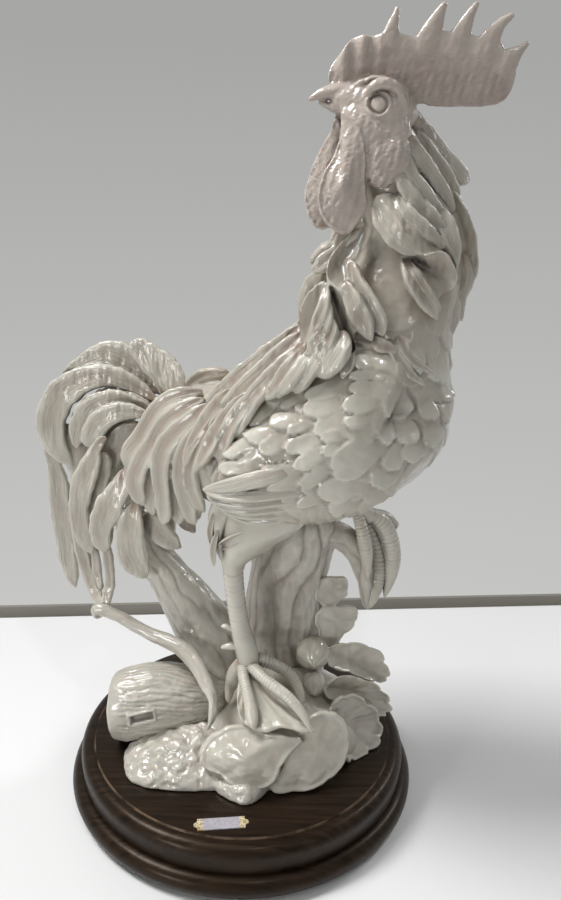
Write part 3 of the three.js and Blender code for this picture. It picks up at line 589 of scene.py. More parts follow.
def ribbon(
    rows, face=FRONT, width=10, thickness=5, lean=1.0, point=0.5, hollow=0.5, ragged=0.0, rings=40, sides=28
):
    """A feather. With s = sin(pi t ** lean), its half width is width / 2 * s ** point and its half depth
    thickness / 2 * s ** 0.4, or both come from the rows. Across it, with u = cos(angle), the front lies
    at the half depth times |sin(angle)| ** RIM_POWER, less the share hollow at the middle. ragged makes
    the edges uneven by a share of the width."""
    rows = np.array(rows, float)
    t, angle = shares(rings, sides)
    u, v = np.cos(angle), np.sin(angle)
    centre, half, across, out = spine(rows, face, t)
    swell = np.abs(np.sin(np.pi * t**lean))
    if rows.shape[1] == 3:
        half_width, half_depth = width / 2 * MM * swell**point, thickness / 2 * MM * swell**0.4
    else:
        half_width, half_depth = (half[..., k] * rounded(t, 0.12) for k in (0, 1))
    if ragged:
        half_width = half_width * (1 + ragged * waves(centre + across * u[..., None] * 0.01, 9, 4, 2))
    trough = hollow * (1 - u**2) ** 1.5 * np.minimum(1, 3 * (1 - t)) ** 0.5
    front = half_depth * np.abs(v) ** RIM_POWER * (1 - trough)
    back = -BACK_SHARE * half_depth * np.abs(v) ** 0.5
    depth = np.where(v > 0, front, back)
    points = centre + across * (half_width * u)[..., None] + out * depth[..., None]
    length = np.cumsum(np.linalg.norm(np.diff(centre, axis=0, prepend=centre[:1]), axis=-1), axis=0)
    chart = np.stack([half_width * u, length], axis=-1) / MM
    pool = np.where(v > 0, 0.15 + 1.3 * trough, 0.5) + 0.5 * np.clip(1 - 5 * t, 0, 1)
    return points, chart, np.clip(pool, 0, 1)


def far(points, through=MIRROR_THROUGH, normal=MIRROR_ACROSS):
    """Points mirrored in the upright plane through a point, in mm, across the given direction."""
    normal = unit(np.array([*normal, 0.0]))
    return points - 2 * ((points - np.array([*through, 0]) * MM) @ normal)[..., None] * normal


def far_side(strands, *plane):
    """Strands mirrored to the bird's far side."""
    return [(far(points, *plane), chart, pool) for points, chart, pool in strands]


# Rockery: a hollow mound pressed in a mould, with a cut log, a pitted rock, a tree stump and its
# branches luted on. Their bark, grain and pits are scratched into the clay, and the glaze is thinner.
MOUND = [
    [-54, 6, 0, 14, 8], [-36, 6, 0, 30, 14], [-12, 0, 0, 42, 22], [14, -2, 0, 50, 42], [38, 2, 0, 42, 38],
    [60, 6, 0, 28, 22], [78, 9, 0, 12, 9],
]
LOG = [
    [-74, -10, 19, 16, 17], [-66, -10, 20, 19, 20], [-44, -8, 24, 19, 20], [-22, -6, 23, 15, 16],
    [-8, -4, 20, 8, 9],
]
LOG_AXIS, LOG_RADIUS, LOG_END = (-8, 22), 19, -68
GRAIN_PITCH, GRAIN_HEIGHT = 0.9, 0.8
SLOT_SPOT, SLOT_TILT, SLOT_HALF = (142, 718), np.radians(-13), (11.5, 3.6)
SLOT_DEPTH, SLOT_SLOPE, FRAME_MIDDLE, FRAME_HALF, FRAME_HEIGHT = 2.4, 1.2, 1.6, 1.8, 1.2
ROCK_OUTLINE = [
    [-62, -22], [-64, -33], [-59, -46], [-50, -53], [-37, -55], [-25, -55], [-13, -54], [0, -54], [8, -46],
    [4, -32], [-20, -18], [-44, -14],
]
ROCK_PEAK, ROCK_SLOPE, ROCK_EDGE = (-22, -27), 15, 8
TOE_OUTLINE = [
    [-14, -48], [-10, -56], [-3, -61], [4, -63.5], [11, -60], [17, -51], [20, -42], [4, -36], [-10, -40],
]
TOE_PEAK, TOE_SLOPE, TOE_EDGE = (4, -46), 5, 8
STUMP = [
    [18, 14, 0, 30, 22], [20, 15, 40, 25, 19], [22, 15, 80, 22, 17], [26, 13, 112, 22, 17],
    [32, 10, 142, 21, 16],
]
BRANCH = [
    [-63, 24, 124, 7, 7], [-57, 23, 104, 9.5, 9], [-45, 21, 86, 12, 12], [-31, 18, 66, 16, 14],
    [-18, 13, 44, 19, 16], [-10, 8, 14, 22, 17],
]
LIMB = [[34, 10, 116, 10, 9], [47, 9, 121, 8, 8], [58, 9, 113, 7, 7], [65, 9, 97, 5, 6], [68, 8, 76, 3, 4]]
TWIG = seen(
    [
        [95, 618, 8, 2.6, 3], [99, 609, 8, 4.2, 4], [118, 616, 6, 3.8, 3.8], [148, 633, 1, 3.8, 3.8],
        [175, 645, -6, 4.8, 4.4], [192, 659, -13, 5, 4.6], [204, 679, -22, 4, 4],
        [212.5, 698, -30, 2.8, 3.2], [212.5, 716, -35, 2.2, 2.6], [207, 731, -38, 1.2, 1.6],
    ]
)


def melted(name, strands, grain, passes):
    """The strands' outer skin as one closed mesh with faces grain mm wide, its joins smoothed by passes."""
    draft = bpy.data.objects.new(name, woven(name, strands))
    bpy.context.scene.collection.objects.link(draft)
    cast = draft.modifiers.new("cast", "REMESH")
    cast.mode, cast.voxel_size = "VOXEL", grain * MM
    sponge = draft.modifiers.new("sponge", "SMOOTH")
    sponge.factor, sponge.iterations = 0.5, passes
    mesh = bpy.data.meshes.new_from_object(draft.evaluated_get(bpy.context.evaluated_depsgraph_get()))
    bpy.data.objects.remove(draft)
    return mesh


def fused(name, strands, grain, passes):
    """The strands melted into one skin, whose points take their chart and pool from the four nearest
    points of the nearest strand."""
    mesh = melted(name, strands, grain, passes)
    spots = np.concatenate([points.reshape(-1, 3) for points, _, _ in strands])
    values = np.concatenate([np.dstack([chart, pool]).reshape(-1, 3) for _, chart, pool in strands])
    owner = np.repeat(np.arange(len(strands)), [pool.size for _, _, pool in strands])
    places = KDTree(len(spots))
    for number, spot in enumerate(spots.tolist()):
        places.insert(spot, number)
    places.balance()
    found = [places.find_n(vertex.co, 4) for vertex in mesh.vertices]
    index = np.array([[hit[1] for hit in hits] for hits in found])
    weight = 1 / (np.array([[hit[2] for hit in hits] for hits in found]) + 0.1 * MM) ** 2
    weight *= owner[index] == owner[index[:, :1]]
    carried = (values[index] * weight[..., None]).sum(axis=1) / weight.sum(axis=1)[:, None]
    mesh.attributes.new("pool", "FLOAT", "POINT").data.foreach_set("value", carried[:, 2])
    flat = np.hstack([carried[:, :2], 0 * carried[:, :1]])
    mesh.attributes.new("chart", "FLOAT_VECTOR", "POINT").data.foreach_set("vector", flat.ravel())
    return mesh


def sculpted(mesh, relief, high, pool=None):
    """Lifts a mesh's points along their normals by relief(points, normals) in mm. The pool of glaze, a
    share or else the mesh's own, is thinned by up to high mm of relief."""
    count = len(mesh.vertices)
    points, normals = np.zeros(count * 3), np.zeros(count * 3)
    mesh.vertices.foreach_get("co", points)
    mesh.vertices.foreach_get("normal", normals)
    points, normals = points.reshape(-1, 3), normals.reshape(-1, 3)
    lift = relief(points, normals)
    points = points + normals * lift[:, None] * MM
    points[:, 2] = np.maximum(points[:, 2], plinth_top + CLEARANCE)
    mesh.vertices.foreach_set("co", points.ravel())
    if pool is None:
        pool = np.zeros(count)
        mesh.attributes["pool"].data.foreach_get("value", pool)
    else:
        mesh.attributes.new("pool", "FLOAT", "POINT")
    mesh.attributes["pool"].data.foreach_set("value", np.clip(pool - pool * lift / high, 0, 1))
    mesh.update()


def closed(rows, t):
    """Smooth closed curve through rows, once round for t from 0 to 1."""
    rows = np.array(rows, float)
    span = (t * len(rows)).astype(int)
    return cubic(*(rows[(span + k) % len(rows)] for k in (-1, 0, 1, 2)), (t * len(rows) - span)[..., None])


def boulder(outline, peak, slope, edge):
    """A rock that stands on the plinth: at the share r of the way from its peak to its outline [x, y],
    its height is slope * (1 - r) + edge * sqrt(1 - r ** 4), in mm."""
    t, angle = shares(70, 120)
    r = np.sin(np.pi * t)
    ring = closed(outline, angle / (2 * np.pi))
    ground = np.array(peak) + (ring - peak) * r[..., None]
    height = np.where(t < 0.5, slope * (1 - r) + edge * np.sqrt(1 - r**4), 0)
    points = np.concatenate([ground, height[..., None]], axis=-1) * MM + [0, 0, plinth_top]
    return points, points[..., :2] * 0, 0 * r


def lumpy(points, normals):
    """Lumps about 30 mm long and 1.4 mm high."""
    return waves(points, 30, 11) * 1.4


def pitted(points, normals):
    """The rock's worn top, with pits up to 2.4 mm deep, over its smooth sides."""
    top = np.clip((normals[:, 2] - 0.25) / 0.3, 0, 1) * np.clip(1 - (points[:, 0] / MM + 2) / 12, 0, 1)
    pits = np.clip(np.abs(waves(points, 15, 5, 3)), 0, 0.5) + 0.5 * np.clip(waves(points, 8, 6, 3), -0.5, 0.5)
    return top * (2.0 * pits - 0.6) + 0.6 * waves(points, 24, 7, 3)


def grained(points, normals):
    """The log's wavy grain, which ends at its smooth cut end, and on that end a framed slot, placed as it
    is seen. Its half sizes and its frame are in pixels, and its relief in mm."""
    x, y, z = np.moveaxis(points / MM, -1, 0)
    around = np.arctan2(z - TOP - LOG_AXIS[1], y - LOG_AXIS[0]) * LOG_RADIUS
    wander = waves(points * [0.35, 1, 1], 14, 3, 3)
    ridges = GRAIN_HEIGHT * np.abs(np.sin(around / GRAIN_PITCH + 3 * wander)) ** 0.7
    grain = np.clip((x - LOG_END) / 4, 0, 1) * (ridges + 0.6 * waves(points * [0.4, 1, 1], 5, 4, 3) - 0.6)
    away = pictured(points) - SLOT_SPOT
    along = np.abs(away[:, 0] * np.cos(SLOT_TILT) + away[:, 1] * np.sin(SLOT_TILT))
    rise = np.abs(away[:, 1] * np.cos(SLOT_TILT) - away[:, 0] * np.sin(SLOT_TILT))
    out = np.maximum(along - SLOT_HALF[0], rise - SLOT_HALF[1])
    near = (normals @ unit(eye - points.mean(axis=0)) > 0.15) & (out < 4)
    hole = -SLOT_DEPTH * np.clip(-out / SLOT_SLOPE, 0, 1)
    border = FRAME_HEIGHT * np.clip(1 - np.abs(out - FRAME_MIDDLE) / FRAME_HALF, 0, 1)
    return np.where(near, np.where(out < 0, hole, border), grain + 0.4 * waves(points, 15, 5, 2))


def bark(furrows, depth, seed):
    """Relief of a number of furrows along a form, which wander with the bark and are depth mm deep."""

    def relief(points, t, angle):
        wander = waves(points * [1, 1, 0.5], 38, seed, 3)
        furrow = 1 - np.abs(np.sin(furrows / 2 * angle + 3 * wander))
        fine = np.abs(waves(points * [1, 1, 0.3], 7, seed + 1, 3))
        rough = 0.3 * waves(points, 9, seed + 2, 3)
        return (0.6 * wander - depth * furrow**2 - 0.6 * depth * fine + rough) * MM

    return relief


mound = casting(MOUND, UP, rings=90, sides=100, blunt=0.06)
log = casting(LOG, UP, rings=120, sides=120, blunt=0.12)
mound_mesh = melted("mound", [mound], grain=1.2, passes=4)
log_mesh = melted("log", [log], grain=0.7, passes=6)
rock = boulder(ROCK_OUTLINE, ROCK_PEAK, ROCK_SLOPE, ROCK_EDGE)
toe_rock = boulder(TOE_OUTLINE, TOE_PEAK, TOE_SLOPE, TOE_EDGE)
rock_mesh = melted("rock", [rock, toe_rock], grain=0.7, passes=10)
sculpted(mound_mesh, lumpy, high=4, pool=0.6)
sculpted(log_mesh, grained, high=2, pool=0.4)
sculpted(rock_mesh, pitted, high=1.5, pool=0.35)
placed("mound_pressing", mound_mesh, rough_glaze, "rough_glaze", "rock_mound")
placed("log_pressing", log_mesh, rough_glaze, "rough_glaze", "cut_log")
placed("rock_pressing", rock_mesh, rough_glaze, "rough_glaze", "front_rock")
stump = casting(STUMP, FRONT, bark(furrows=12, depth=1.4, seed=7), rings=220, sides=220)
branch = casting(BRANCH, FRONT, bark(furrows=8, depth=0.8, seed=8), rings=160, sides=140)
limb = casting(LIMB, FRONT, bark(furrows=5, depth=0.8, seed=9), rings=110, sides=90)
twig = casting(TWIG, FRONT, bark(furrows=3, depth=0.35, seed=10), rings=140, sides=80)
skin("stump_pressing", [stump], rough_glaze, "rough_glaze", "tree_stump")
skin("branch_pressing", [branch], rough_glaze, "rough_glaze", "leaning_branch")
skin("limb_pressing", [limb], rough_glaze, "rough_glaze", "stump_limb")
skin("twig_pressing", [twig], rough_glaze, "rough_glaze", "tail_twig")


# Leaves: sheets of clay, cut with lobed rims, rolled at the rim and curled by hand round the foot of the
# stump, with two round buds between them. They carry the same white glaze as the bird. Each rim is a
# closed row of picture points with their depth y, and the sheet sags from it to its middle.
LEAVES = {
    "leaf_under_foot": {
        "middle": [249, 678, -27],
        "rim": [
            [243, 668, -24], [258, 680, -30], [284, 694, -35], [307, 720, -42], [316, 732, -46],
            [301, 733, -48], [282, 729, -47], [266, 733, -48], [251, 729, -46], [240, 719, -43],
            [237, 702, -37], [239, 682, -29],
        ],
        "sag": 1.0,
        "pleats": (11, 1.5),
    },
    "leaf_front_left": {
        "middle": [246, 757, -53],
        "rim": [
            [305, 738, -44], [284, 733, -45], [263, 728, -43], [242, 723, -41], [222, 726, -42],
            [208, 737, -43], [199, 752, -45], [204, 766, -48], [221, 777, -52], [234, 786, -54],
            [253, 790, -55], [270, 786, -55], [281, 772, -52], [291, 753, -48],
        ],
        "sag": -1.5,
        "pleats": (5, 1.2),
        "lobes": (7, 0.06),
    },
    "leaf_front_right": {
        "middle": [316, 750, -46],
        "rim": [
            [303, 722, -38], [316, 711, -36], [335, 711, -33], [346, 725, -32], [348, 746, -34],
            [342, 764, -39], [328, 779, -45], [307, 790, -50], [284, 793, -52], [270, 789, -52],
            [276, 772, -50], [286, 752, -46],
        ],
        "sag": 1.0,
        "pleats": (6, 1.0),
        "lobes": (6, 0.05),
    },
    "leaf_right_low": {
        "middle": [345, 722, -20],
        "rim": [
            [328, 705, -22], [347, 692, -16], [368, 702, -9], [378, 717, -6], [380, 736, -9],
            [367, 754, -18], [347, 763, -28], [340, 744, -29], [335, 724, -27],
        ],
        "sag": 3.0,
        "pleats": (9, 1.6),
        "lobes": (9, 0.12),
    },
    "leaf_right_middle": {
        "middle": [345, 690, -9],
        "rim": [
            [322, 684, -15], [337, 675, -12], [354, 675, -7], [372, 681, -2], [384, 690, 2], [391, 703, 3],
            [387, 713, 1], [375, 715, -4], [362, 706, -8], [345, 699, -12], [328, 699, -16],
        ],
        "sag": 2.5,
        "pleats": (9, 1.5),
        "lobes": (9, 0.14),
    },
    "leaf_right_upper": {
        "middle": [350, 657, 2],
        "rim": [
            [326, 646, -1], [345, 642, 4], [362, 643, 7], [377, 649, 10], [386, 663, 11], [387, 678, 9],
            [376, 683, 5], [355, 676, -1], [337, 670, -5], [324, 662, -6],
        ],
        "sag": 2.5,
        "pleats": (7, 1.3),
        "lobes": (8, 0.12),
    },
    "leaf_stump_low": {
        "middle": [334, 622, 5],
        "rim": [
            [318, 608, 5], [332, 603, 7], [354, 605, 11], [357, 617, 11], [349, 629, 10], [339, 637, 8],
            [335, 646, 6], [321, 642, 3], [314, 624, 3],
        ],
        "sag": 1.5,
        "pleats": (6, 1.0),
        "lobes": (6, 0.12),
    },
    "leaf_stump_high": {
        "middle": [332, 588, 7],
        "rim": [
            [316, 580, 6], [333, 575, 9], [345, 576, 12], [347, 589, 12], [341, 598, 10], [328, 605, 7],
            [314, 600, 5],
        ],
        "sag": 1.0,
        "pleats": (5, 0.9),
        "lobes": (5, 0.14),
    },
}
LEAF_THICKNESS, RIM_ROLL = 4.2, 1.3
ROLL_PLACE, ROLL_WIDTH = 0.94, 0.05
BUDS = {
    "bud_large": [[38, 8, 54, 6, 6], [38, -4, 53, 9.5, 9.5], [38, -14, 52, 3, 3]],
    "bud_small": [[38, -2, 41, 4, 4], [39, -13, 39, 6, 7], [39, -20, 38, 2, 2]],
}


def sheet(
    middle, rim, sag, pleats=(0, 0), lobes=(0, 0), thickness=LEAF_THICKNESS, roll=RIM_ROLL, pebbles=0.0
):
    """A sheet of clay between its middle and its rim. At the share r of the way out, it lies sag * (1 -
    r ** 2) mm behind the flat cone, less a roll at the rim, and pleats of a number and height radiate.
    The rim has a number of lobes, and the cuts between them take a share of the radius. Pebbles of a
    height cover all but the rim."""
    t, angle = shares(76, 168)
    r = np.sin(np.pi * t)
    middle, rim = seen([middle])[0], seen(rim)
    ring = closed(rim, angle / (2 * np.pi))
    turned = np.cross(rim - middle, np.roll(rim, -1, axis=0) - middle).sum(axis=0)
    face = unit(turned) * np.sign(turned @ (eye / MM - middle))
    number, cut = lobes
    reach = 1 - cut * (1 - np.abs(np.sin(number * angle / 2 + 0.5 * np.sin(2 * angle)))) ** 2
    flat = middle + (ring - middle) * (r * reach)[..., None]
    number, height = pleats
    depth = -sag * (1 - r**2) + roll * np.exp(-(((r - ROLL_PLACE) / ROLL_WIDTH) ** 2))
    depth += height * r * np.abs(np.sin(number * angle / 2 + 0.6 * r))
    depth += 0.5 * waves(flat * MM, 22, 61, 2) * r
    depth += pebbles * waves(flat * MM, 4.5, 51, 2) * np.clip(3 - 3 * r, 0, 1)
    depth += thickness / 2 * np.sign(np.cos(np.pi * t)) * np.abs(np.cos(np.pi * t)) ** 0.5
    points = (flat + face * depth[..., None]) * MM + [0, 0, plinth_top]
    return points, points[..., :2] * 0, np.clip(0.25 + 0.35 * (1 - r**2), 0, 1)


def bud_folds(points, t, angle):
    """Five shallow folds round a bud, deepest at its mouth, and fine creases between them."""
    return (-0.6 * (1 - np.abs(np.sin(2.5 * angle))) ** 3 * t + 0.35 * waves(points, 6, 62, 2)) * MM


def dimpled(points, normals):
    """The uneven skin that fingers leave on soft clay, about 0.5 mm high."""
    return 0.55 * waves(points, 14, 63, 3)


LEAF_GROUPS = {
    "foot_leaf": ["leaf_under_foot"],
    "ground_leaves": ["leaf_front_left", "leaf_front_right", "leaf_right_low"],
    "right_leaves": ["leaf_right_middle", "leaf_right_upper"],
    "stump_leaves": ["leaf_stump_low", "leaf_stump_high"],
}
for name, nodes in LEAF_GROUPS.items():
    leaf_mesh = fused(name + "_form", [sheet(**LEAVES[node]) for node in nodes], grain=0.55, passes=7)
    sculpted(leaf_mesh, dimpled, high=2)
    placed(name, leaf_mesh, white_glaze, "white_glaze", *nodes)
for name, rows in BUDS.items():
    bud = casting(rows, UP, bud_folds, rings=50, sides=70, blunt=0.3)
    skin("pinched_" + name, [bud], white_glaze, "white_glaze", name)


# Bird: body, neck and the covert slabs of both wings are cast hollow in one plaster mould. Their feathers
# were modelled on the master in overlapping courses, and the thick glaze melts them into one skin. A row
# of PLUMAGE is one feather: its root and its tip in the picture, and its width in mm.
BODY = [
    [-54, 17, 182, 9, 5], [-42, 15, 183, 20, 12], [-25, 10, 180, 32, 23], [0, 3, 174, 38, 35],
    [30, -5, 176, 41, 35], [58, -10, 184, 42, 29], [78, -14, 195, 34, 22], [88, -16, 205, 21, 12],
    [95, -17, 211, 7, 6],
]
NECK = [
    [56, -6, 192, 39, 34], [61, -8, 220, 36, 33], [67, -7, 243, 29, 28], [74, -5, 266, 25, 23],
    [72.5, -4, 288, 20.5, 18], [64, -6, 308, 17, 14], [57, -8, 326, 12.5, 11], [56, -9, 338, 8, 7],
]
COVERT_SLAB = [
    [74, -38, 196, 12, 5], [54, -46, 186, 24, 7], [26, -44, 178, 27, 8], [4, -39, 169, 20, 7],
    [-14, -35, 161, 10, 5],
]
SHOULDER_SLAB = [
    [66, -22, 246, 12, 8], [52, -33, 226, 22, 9], [34, -39, 206, 26, 8], [14, -38, 192, 22, 7],
    [-6, -32, 180, 14, 6],
]
SHOULDER_FACE = [-0.3, -0.8, 0.5]
PLUMAGE = [
    [391, 344, 354, 340, 7], [381, 363, 352, 363, 8], [379, 376, 350, 377, 6], [379, 389, 350, 387, 6.5],
    [383, 399, 343, 407, 10.5], [376, 417, 344, 424, 6.5], [386, 389, 406, 419, 14.5],
    [422, 385, 427, 422, 9], [441, 370, 451, 403, 9.5], [398, 414, 409, 444, 12], [441, 399, 448, 420, 8.5],
    [379, 413, 387, 443, 10.5], [383, 433, 334, 475, 17.5], [372, 478, 318, 491, 12.5],
    [405, 438, 386, 469, 11], [415, 433, 407, 461, 9.5], [430, 418, 430, 446, 9], [432, 352, 436, 384, 9],
    [412, 340, 417, 372, 9], [395, 464, 372, 485, 10.5], [355, 495, 327, 509, 8.5],
    [348, 349, 323, 374, 11], [350, 385, 306, 398, 9], [348, 402, 304, 413, 10.5], [345, 418, 313, 433, 9],
    [353, 430, 321, 440, 7.5], [353, 440, 323, 455, 8.5], [274, 404, 252, 423, 7.5],
    [307, 419, 271, 424, 8], [281, 432, 246, 438, 9], [334, 433, 285, 451, 9], [291, 435, 262, 451, 9.5],
    [257, 423, 226, 437, 7], [264, 440, 225, 455, 7], [271, 464, 222, 469, 8.5], [307, 471, 262, 471, 9],
    [339, 449, 293, 465, 8.5], [338, 466, 299, 482, 8.5], [307, 483, 266, 486, 6.5],
    [322, 483, 302, 488, 7], [327, 494, 296, 502, 7.5], [300, 389, 267, 404, 7], [307, 395, 281, 410, 5],
    [312, 404, 295, 413, 4.5], [314, 420, 289, 434, 6], [252, 406, 231, 426, 7], [241, 416, 221, 440, 6.5],
]
PIXELS_PER_MM = 2.17
FEATHER_RISE, FEATHER_LIP = 3.6, 0.9
WAVER = 3
COURSE_TOP, COURSE_FADE = 252, 14
COURSE, COURSE_WIDTH, COURSE_OVERLAP, COURSE_RISE = 11, 13, 1.9, 0.6
BACK_START = 20
BREAST_CENTRE, BREAST_ROUND = (25, 185), 60
CAST_GRAIN = 0.92


def laid(q, aside, half, rise):
    """Relief in mm of a feather at the share q of its length, aside mm from its middle. Up to q = 0.5
    its half width grows to half, and from there it ends bluntly. It rises with q from its root,
    and drops at its edge over FEATHER_LIP."""
    tip = np.clip(q - 0.5, 0, 0.5) / 0.5
    swell = np.where(q < 0.5, 0.75 + 0.5 * q, np.sqrt(1 - tip**3))
    lip = np.clip((half * swell - np.abs(aside)) / FEATHER_LIP, 0, 1)
    hollow = 0.12 * np.clip(1 - (aside / np.maximum(half * swell, 0.1)) ** 2, 0, 1)
    return rise * np.clip(q, 0, 1) ** 0.8 * (1 - (1 - lip) ** 2) * (1 - hollow) * (q < 1)


def traced(points):
    """Relief in mm at points of the feathers of PLUMAGE, laid along the line of sight. The highest shows."""
    places = pictured(points)
    places = places + WAVER * np.stack([waves(points, 16, 22, 2), waves(points, 16, 23, 2)], axis=-1)
    rows = np.array(PLUMAGE, float)[:, None]
    way = rows[..., 2:4] - rows[..., :2]
    length = np.linalg.norm(way, axis=-1)
    reach = places - rows[..., :2]
    q = (reach * way).sum(axis=-1) / length**2
    aside = (way[..., 0] * reach[..., 1] - way[..., 1] * reach[..., 0]) / length / PIXELS_PER_MM
    return laid(q, aside, rows[..., 4] / 2, FEATHER_RISE).max(axis=0)


def coursed(points):
    """Relief in mm of feathers in courses, like roof tiles: down the neck, along the back to the tail, and
    round under the breast."""
    x, y, z = np.moveaxis(points / MM, -1, 0)
    x, z = x - BREAST_CENTRE[0], z - TOP - BREAST_CENTRE[1]
    below = BREAST_ROUND * np.arctan2(-z, np.maximum(x, 1))
    down = np.where(z > 0, -z, below) + np.maximum(BACK_START - x, 0)
    best = 0 * down
    for back in (0, 1):
        course = np.floor(down / COURSE) - back
        q = (down / COURSE - course) / COURSE_OVERLAP
        aside = ((y / COURSE_WIDTH + 0.5 * (course % 2)) % 1 - 0.5) * COURSE_WIDTH
        best = np.maximum(best, laid(q, aside, COURSE_WIDTH / 2, COURSE_RISE * FEATHER_RISE))
    return best


def facing(points, normals):
    """How far a surface faces the camera: 0 to 1 while the cosine between them goes from 0.1 to 0.3."""
    return np.clip(((unit(eye - points) * normals).sum(axis=-1) - 0.1) / 0.2, 0, 1)


def plumage(points, normals):
    """Relief in mm of the bird's trunk: the traced feathers where it faces the camera, the same ones
    mirrored on the far side, and courses between them. These end below the bare throat, but run on up
    the back of the neck."""
    mirrored = far(points)
    near, away = facing(points, normals), facing(mirrored, far(points + normals) - mirrored)
    near_relief, away_relief = traced(points), traced(mirrored)
    rest = (1 - near) * (1 - away)
    below_throat = np.clip((COURSE_TOP - (points[:, 2] - plinth_top) / MM) / COURSE_FADE, 0, 1)
    behind_neck = np.clip(-1.4 - 2.5 * normals[:, 0], 0, 1)
    wander = 3 * MM * waves(points, 30, 24, 2)[:, None]
    small = coursed(points + wander) * np.maximum(rest, 0.75) * np.maximum(below_throat, behind_neck)
    relief = np.maximum(np.maximum(near * near_relief, away * away_relief), small)
    return relief + 0.3 * waves(points, 20, 21, 3) + 0.2 * waves(points, 7, 25, 2)


slabs = [casting(COVERT_SLAB, FRONT, sides=60), casting(SHOULDER_SLAB, SHOULDER_FACE, sides=60)]
trunk = [casting(BODY, UP, rings=90, sides=80, blunt=0.05), casting(NECK, FRONT, rings=90, sides=80)]
trunk_mesh = melted("trunk", trunk + slabs + far_side(slabs), CAST_GRAIN, passes=50)
sculpted(trunk_mesh, plumage, high=3.4, pool=0.85)
placed("trunk_casting", trunk_mesh, white_glaze, "white_glaze", "body", "neck", "wing_right", "wing_left")


# Wings: the flight feathers are stacked like louvres below the coverts, with their tips to the tail, and
# one long covert lies over them.
FLIGHTS = [
    [[332, 487, -46], [292, 491, -50], [252, 496, -49], [220, 494, -45], [203, 490, -42]],
    [[330, 493, -45], [292, 498, -48], [252, 503, -47], [222, 501, -43], [206, 496, -40]],
    [[328, 499, -44], [292, 504, -46], [254, 509, -45], [227, 506, -41], [211, 501, -38]],
    [[324, 504, -42], [292, 510, -44], [258, 514, -43], [233, 511, -39], [217, 506, -36]],
    [[318, 509, -40], [290, 515, -42], [262, 519, -40], [240, 516, -36], [224, 511, -33]],
]
FLIGHT_SIZES = [[3, 2.2], [3.2, 2.2], [3.2, 2.2], [2.8, 2], [1, 1]]
LONG_COVERT = seen([[292, 470, -52], [262, 478, -52], [231, 485, -48], [202, 490, -42]])
flights = [seen(np.hstack([rows, FLIGHT_SIZES])) for rows in FLIGHTS]
flights = [ribbon(rows, [0, -1, 0.4], hollow=0.15, rings=70, sides=32) for rows in flights]
flights.append(ribbon(LONG_COVERT, [0, -1, 0.2], width=8, thickness=4.5, lean=0.8, hollow=0.2))
for side, strands in (("right", flights), ("left", far_side(flights))):
    flight_mesh = fused("flight_form", strands, grain=0.5, passes=3)
    placed("flight_feathers_" + side, flight_mesh, feather_glaze, "white_glaze", "wing_" + side)


# Legs: the shanks and toes are rolled over wires, with scutes pressed in across them and a pointed claw
# on each toe. The near leg stands, with a slit fold in its thigh, and the other is drawn up.
THIGH = [
    [24, -10, 166, 20, 18], [12, -18, 151, 21, 17], [2, -22, 136, 15, 13], [-5, -21, 121, 7.5, 8],
    [-6, -20, 110, 5, 6],
]
SHANK = [
    [-7, -20, 124, 5.5, 6], [-5, -20, 101, 5, 5.5], [-2, -20, 80, 5, 5.5], [2, -20, 64, 6, 6],
    [4, -21, 54, 5, 5],
]
TOES = [
    seen(
        [
            [245, 664, -21, 4, 4], [244, 676, -28, 3.2, 3.2], [247, 689, -35.5, 2.8, 3],
            [250, 703, -41, 3.2, 3], [252, 717, -46, 3.4, 2.6], [254, 730, -50, 1.4, 1.6],
        ]
    ),
    seen(
        [
            [249, 664, -21, 4, 4], [259, 674, -29.5, 3.2, 3.2], [272, 685, -36.5, 3, 3],
            [288, 697, -41, 2.8, 3], [301, 712, -45, 2.4, 2.4], [312, 733, -50.5, 0.8, 0.8],
        ]
    ),
    [
        [5, -19, 60, 4, 4], [17, -18, 55, 3.2, 3.2], [26, -19, 49, 3, 3], [31, -23, 42, 2.4, 2.4],
        [33, -27, 36, 1, 1],
    ],
    [[2, -19, 58, 4, 4], [-4, -15, 48, 4, 4], [-7, -15, 38, 3, 3], [-8, -17, 29, 1.5, 2]],
]
SPURS = [
    [[-4, -20, 77, 2, 2], [-9, -20, 79, 1.6, 1.6], [-12, -20, 79, 0.8, 0.8]],
    [[-1, -20, 67, 2.2, 2.2], [-7, -20, 67, 2, 2], [-12, -20, 66, 1, 1]],
]
RAISED_SHANK = [
    [22, 6, 158, 12, 11], [36, 3, 149, 7, 7], [49, 3, 141, 4.5, 4.5], [59, 6, 137, 4, 4.5],
    [67, 8, 131, 4.5, 5],
]
RAISED_TOES = [
    [[58, 6, 137, 3, 3], [61, 1, 128, 3.4, 3.5], [64, 0, 115, 3.6, 3.5], [66, 1, 98, 1.4, 1.4]],
    [
        [62, 8, 136, 4, 4], [73, 10, 127, 5, 4.4], [79, 12, 112, 5, 4.4], [80, 12, 98, 4.2, 4],
        [77, 9, 83, 1.4, 1.4],
    ],
    [
        [63, 12, 132, 3.5, 4], [71, 15, 114, 4.6, 4.4], [73, 13, 98, 4.6, 4.4], [71, 8, 87, 3.8, 3.4],
        [69, 4, 79, 1.2, 1.2],
    ],
    [[64, 10, 132, 3.5, 4], [74, 17, 128, 4, 4], [82, 20, 121, 3, 3]],
]
THIGH_BACK = seen(
    [[228, 496, -22, 6, 7], [220, 518, -22, 5.5, 6], [220, 541, -22, 4, 5], [226, 562, -21, 2, 3]]
)
SLIT = seen([[217, 548, -25], [231, 541, -31.5], [246, 533, -34]])
TUFTS = [
    seen([[214, 512, -26], [210, 530, -26], [212, 548, -27]]),
    seen([[218, 530, -28], [213, 548, -28], [214, 566, -27]]),
]


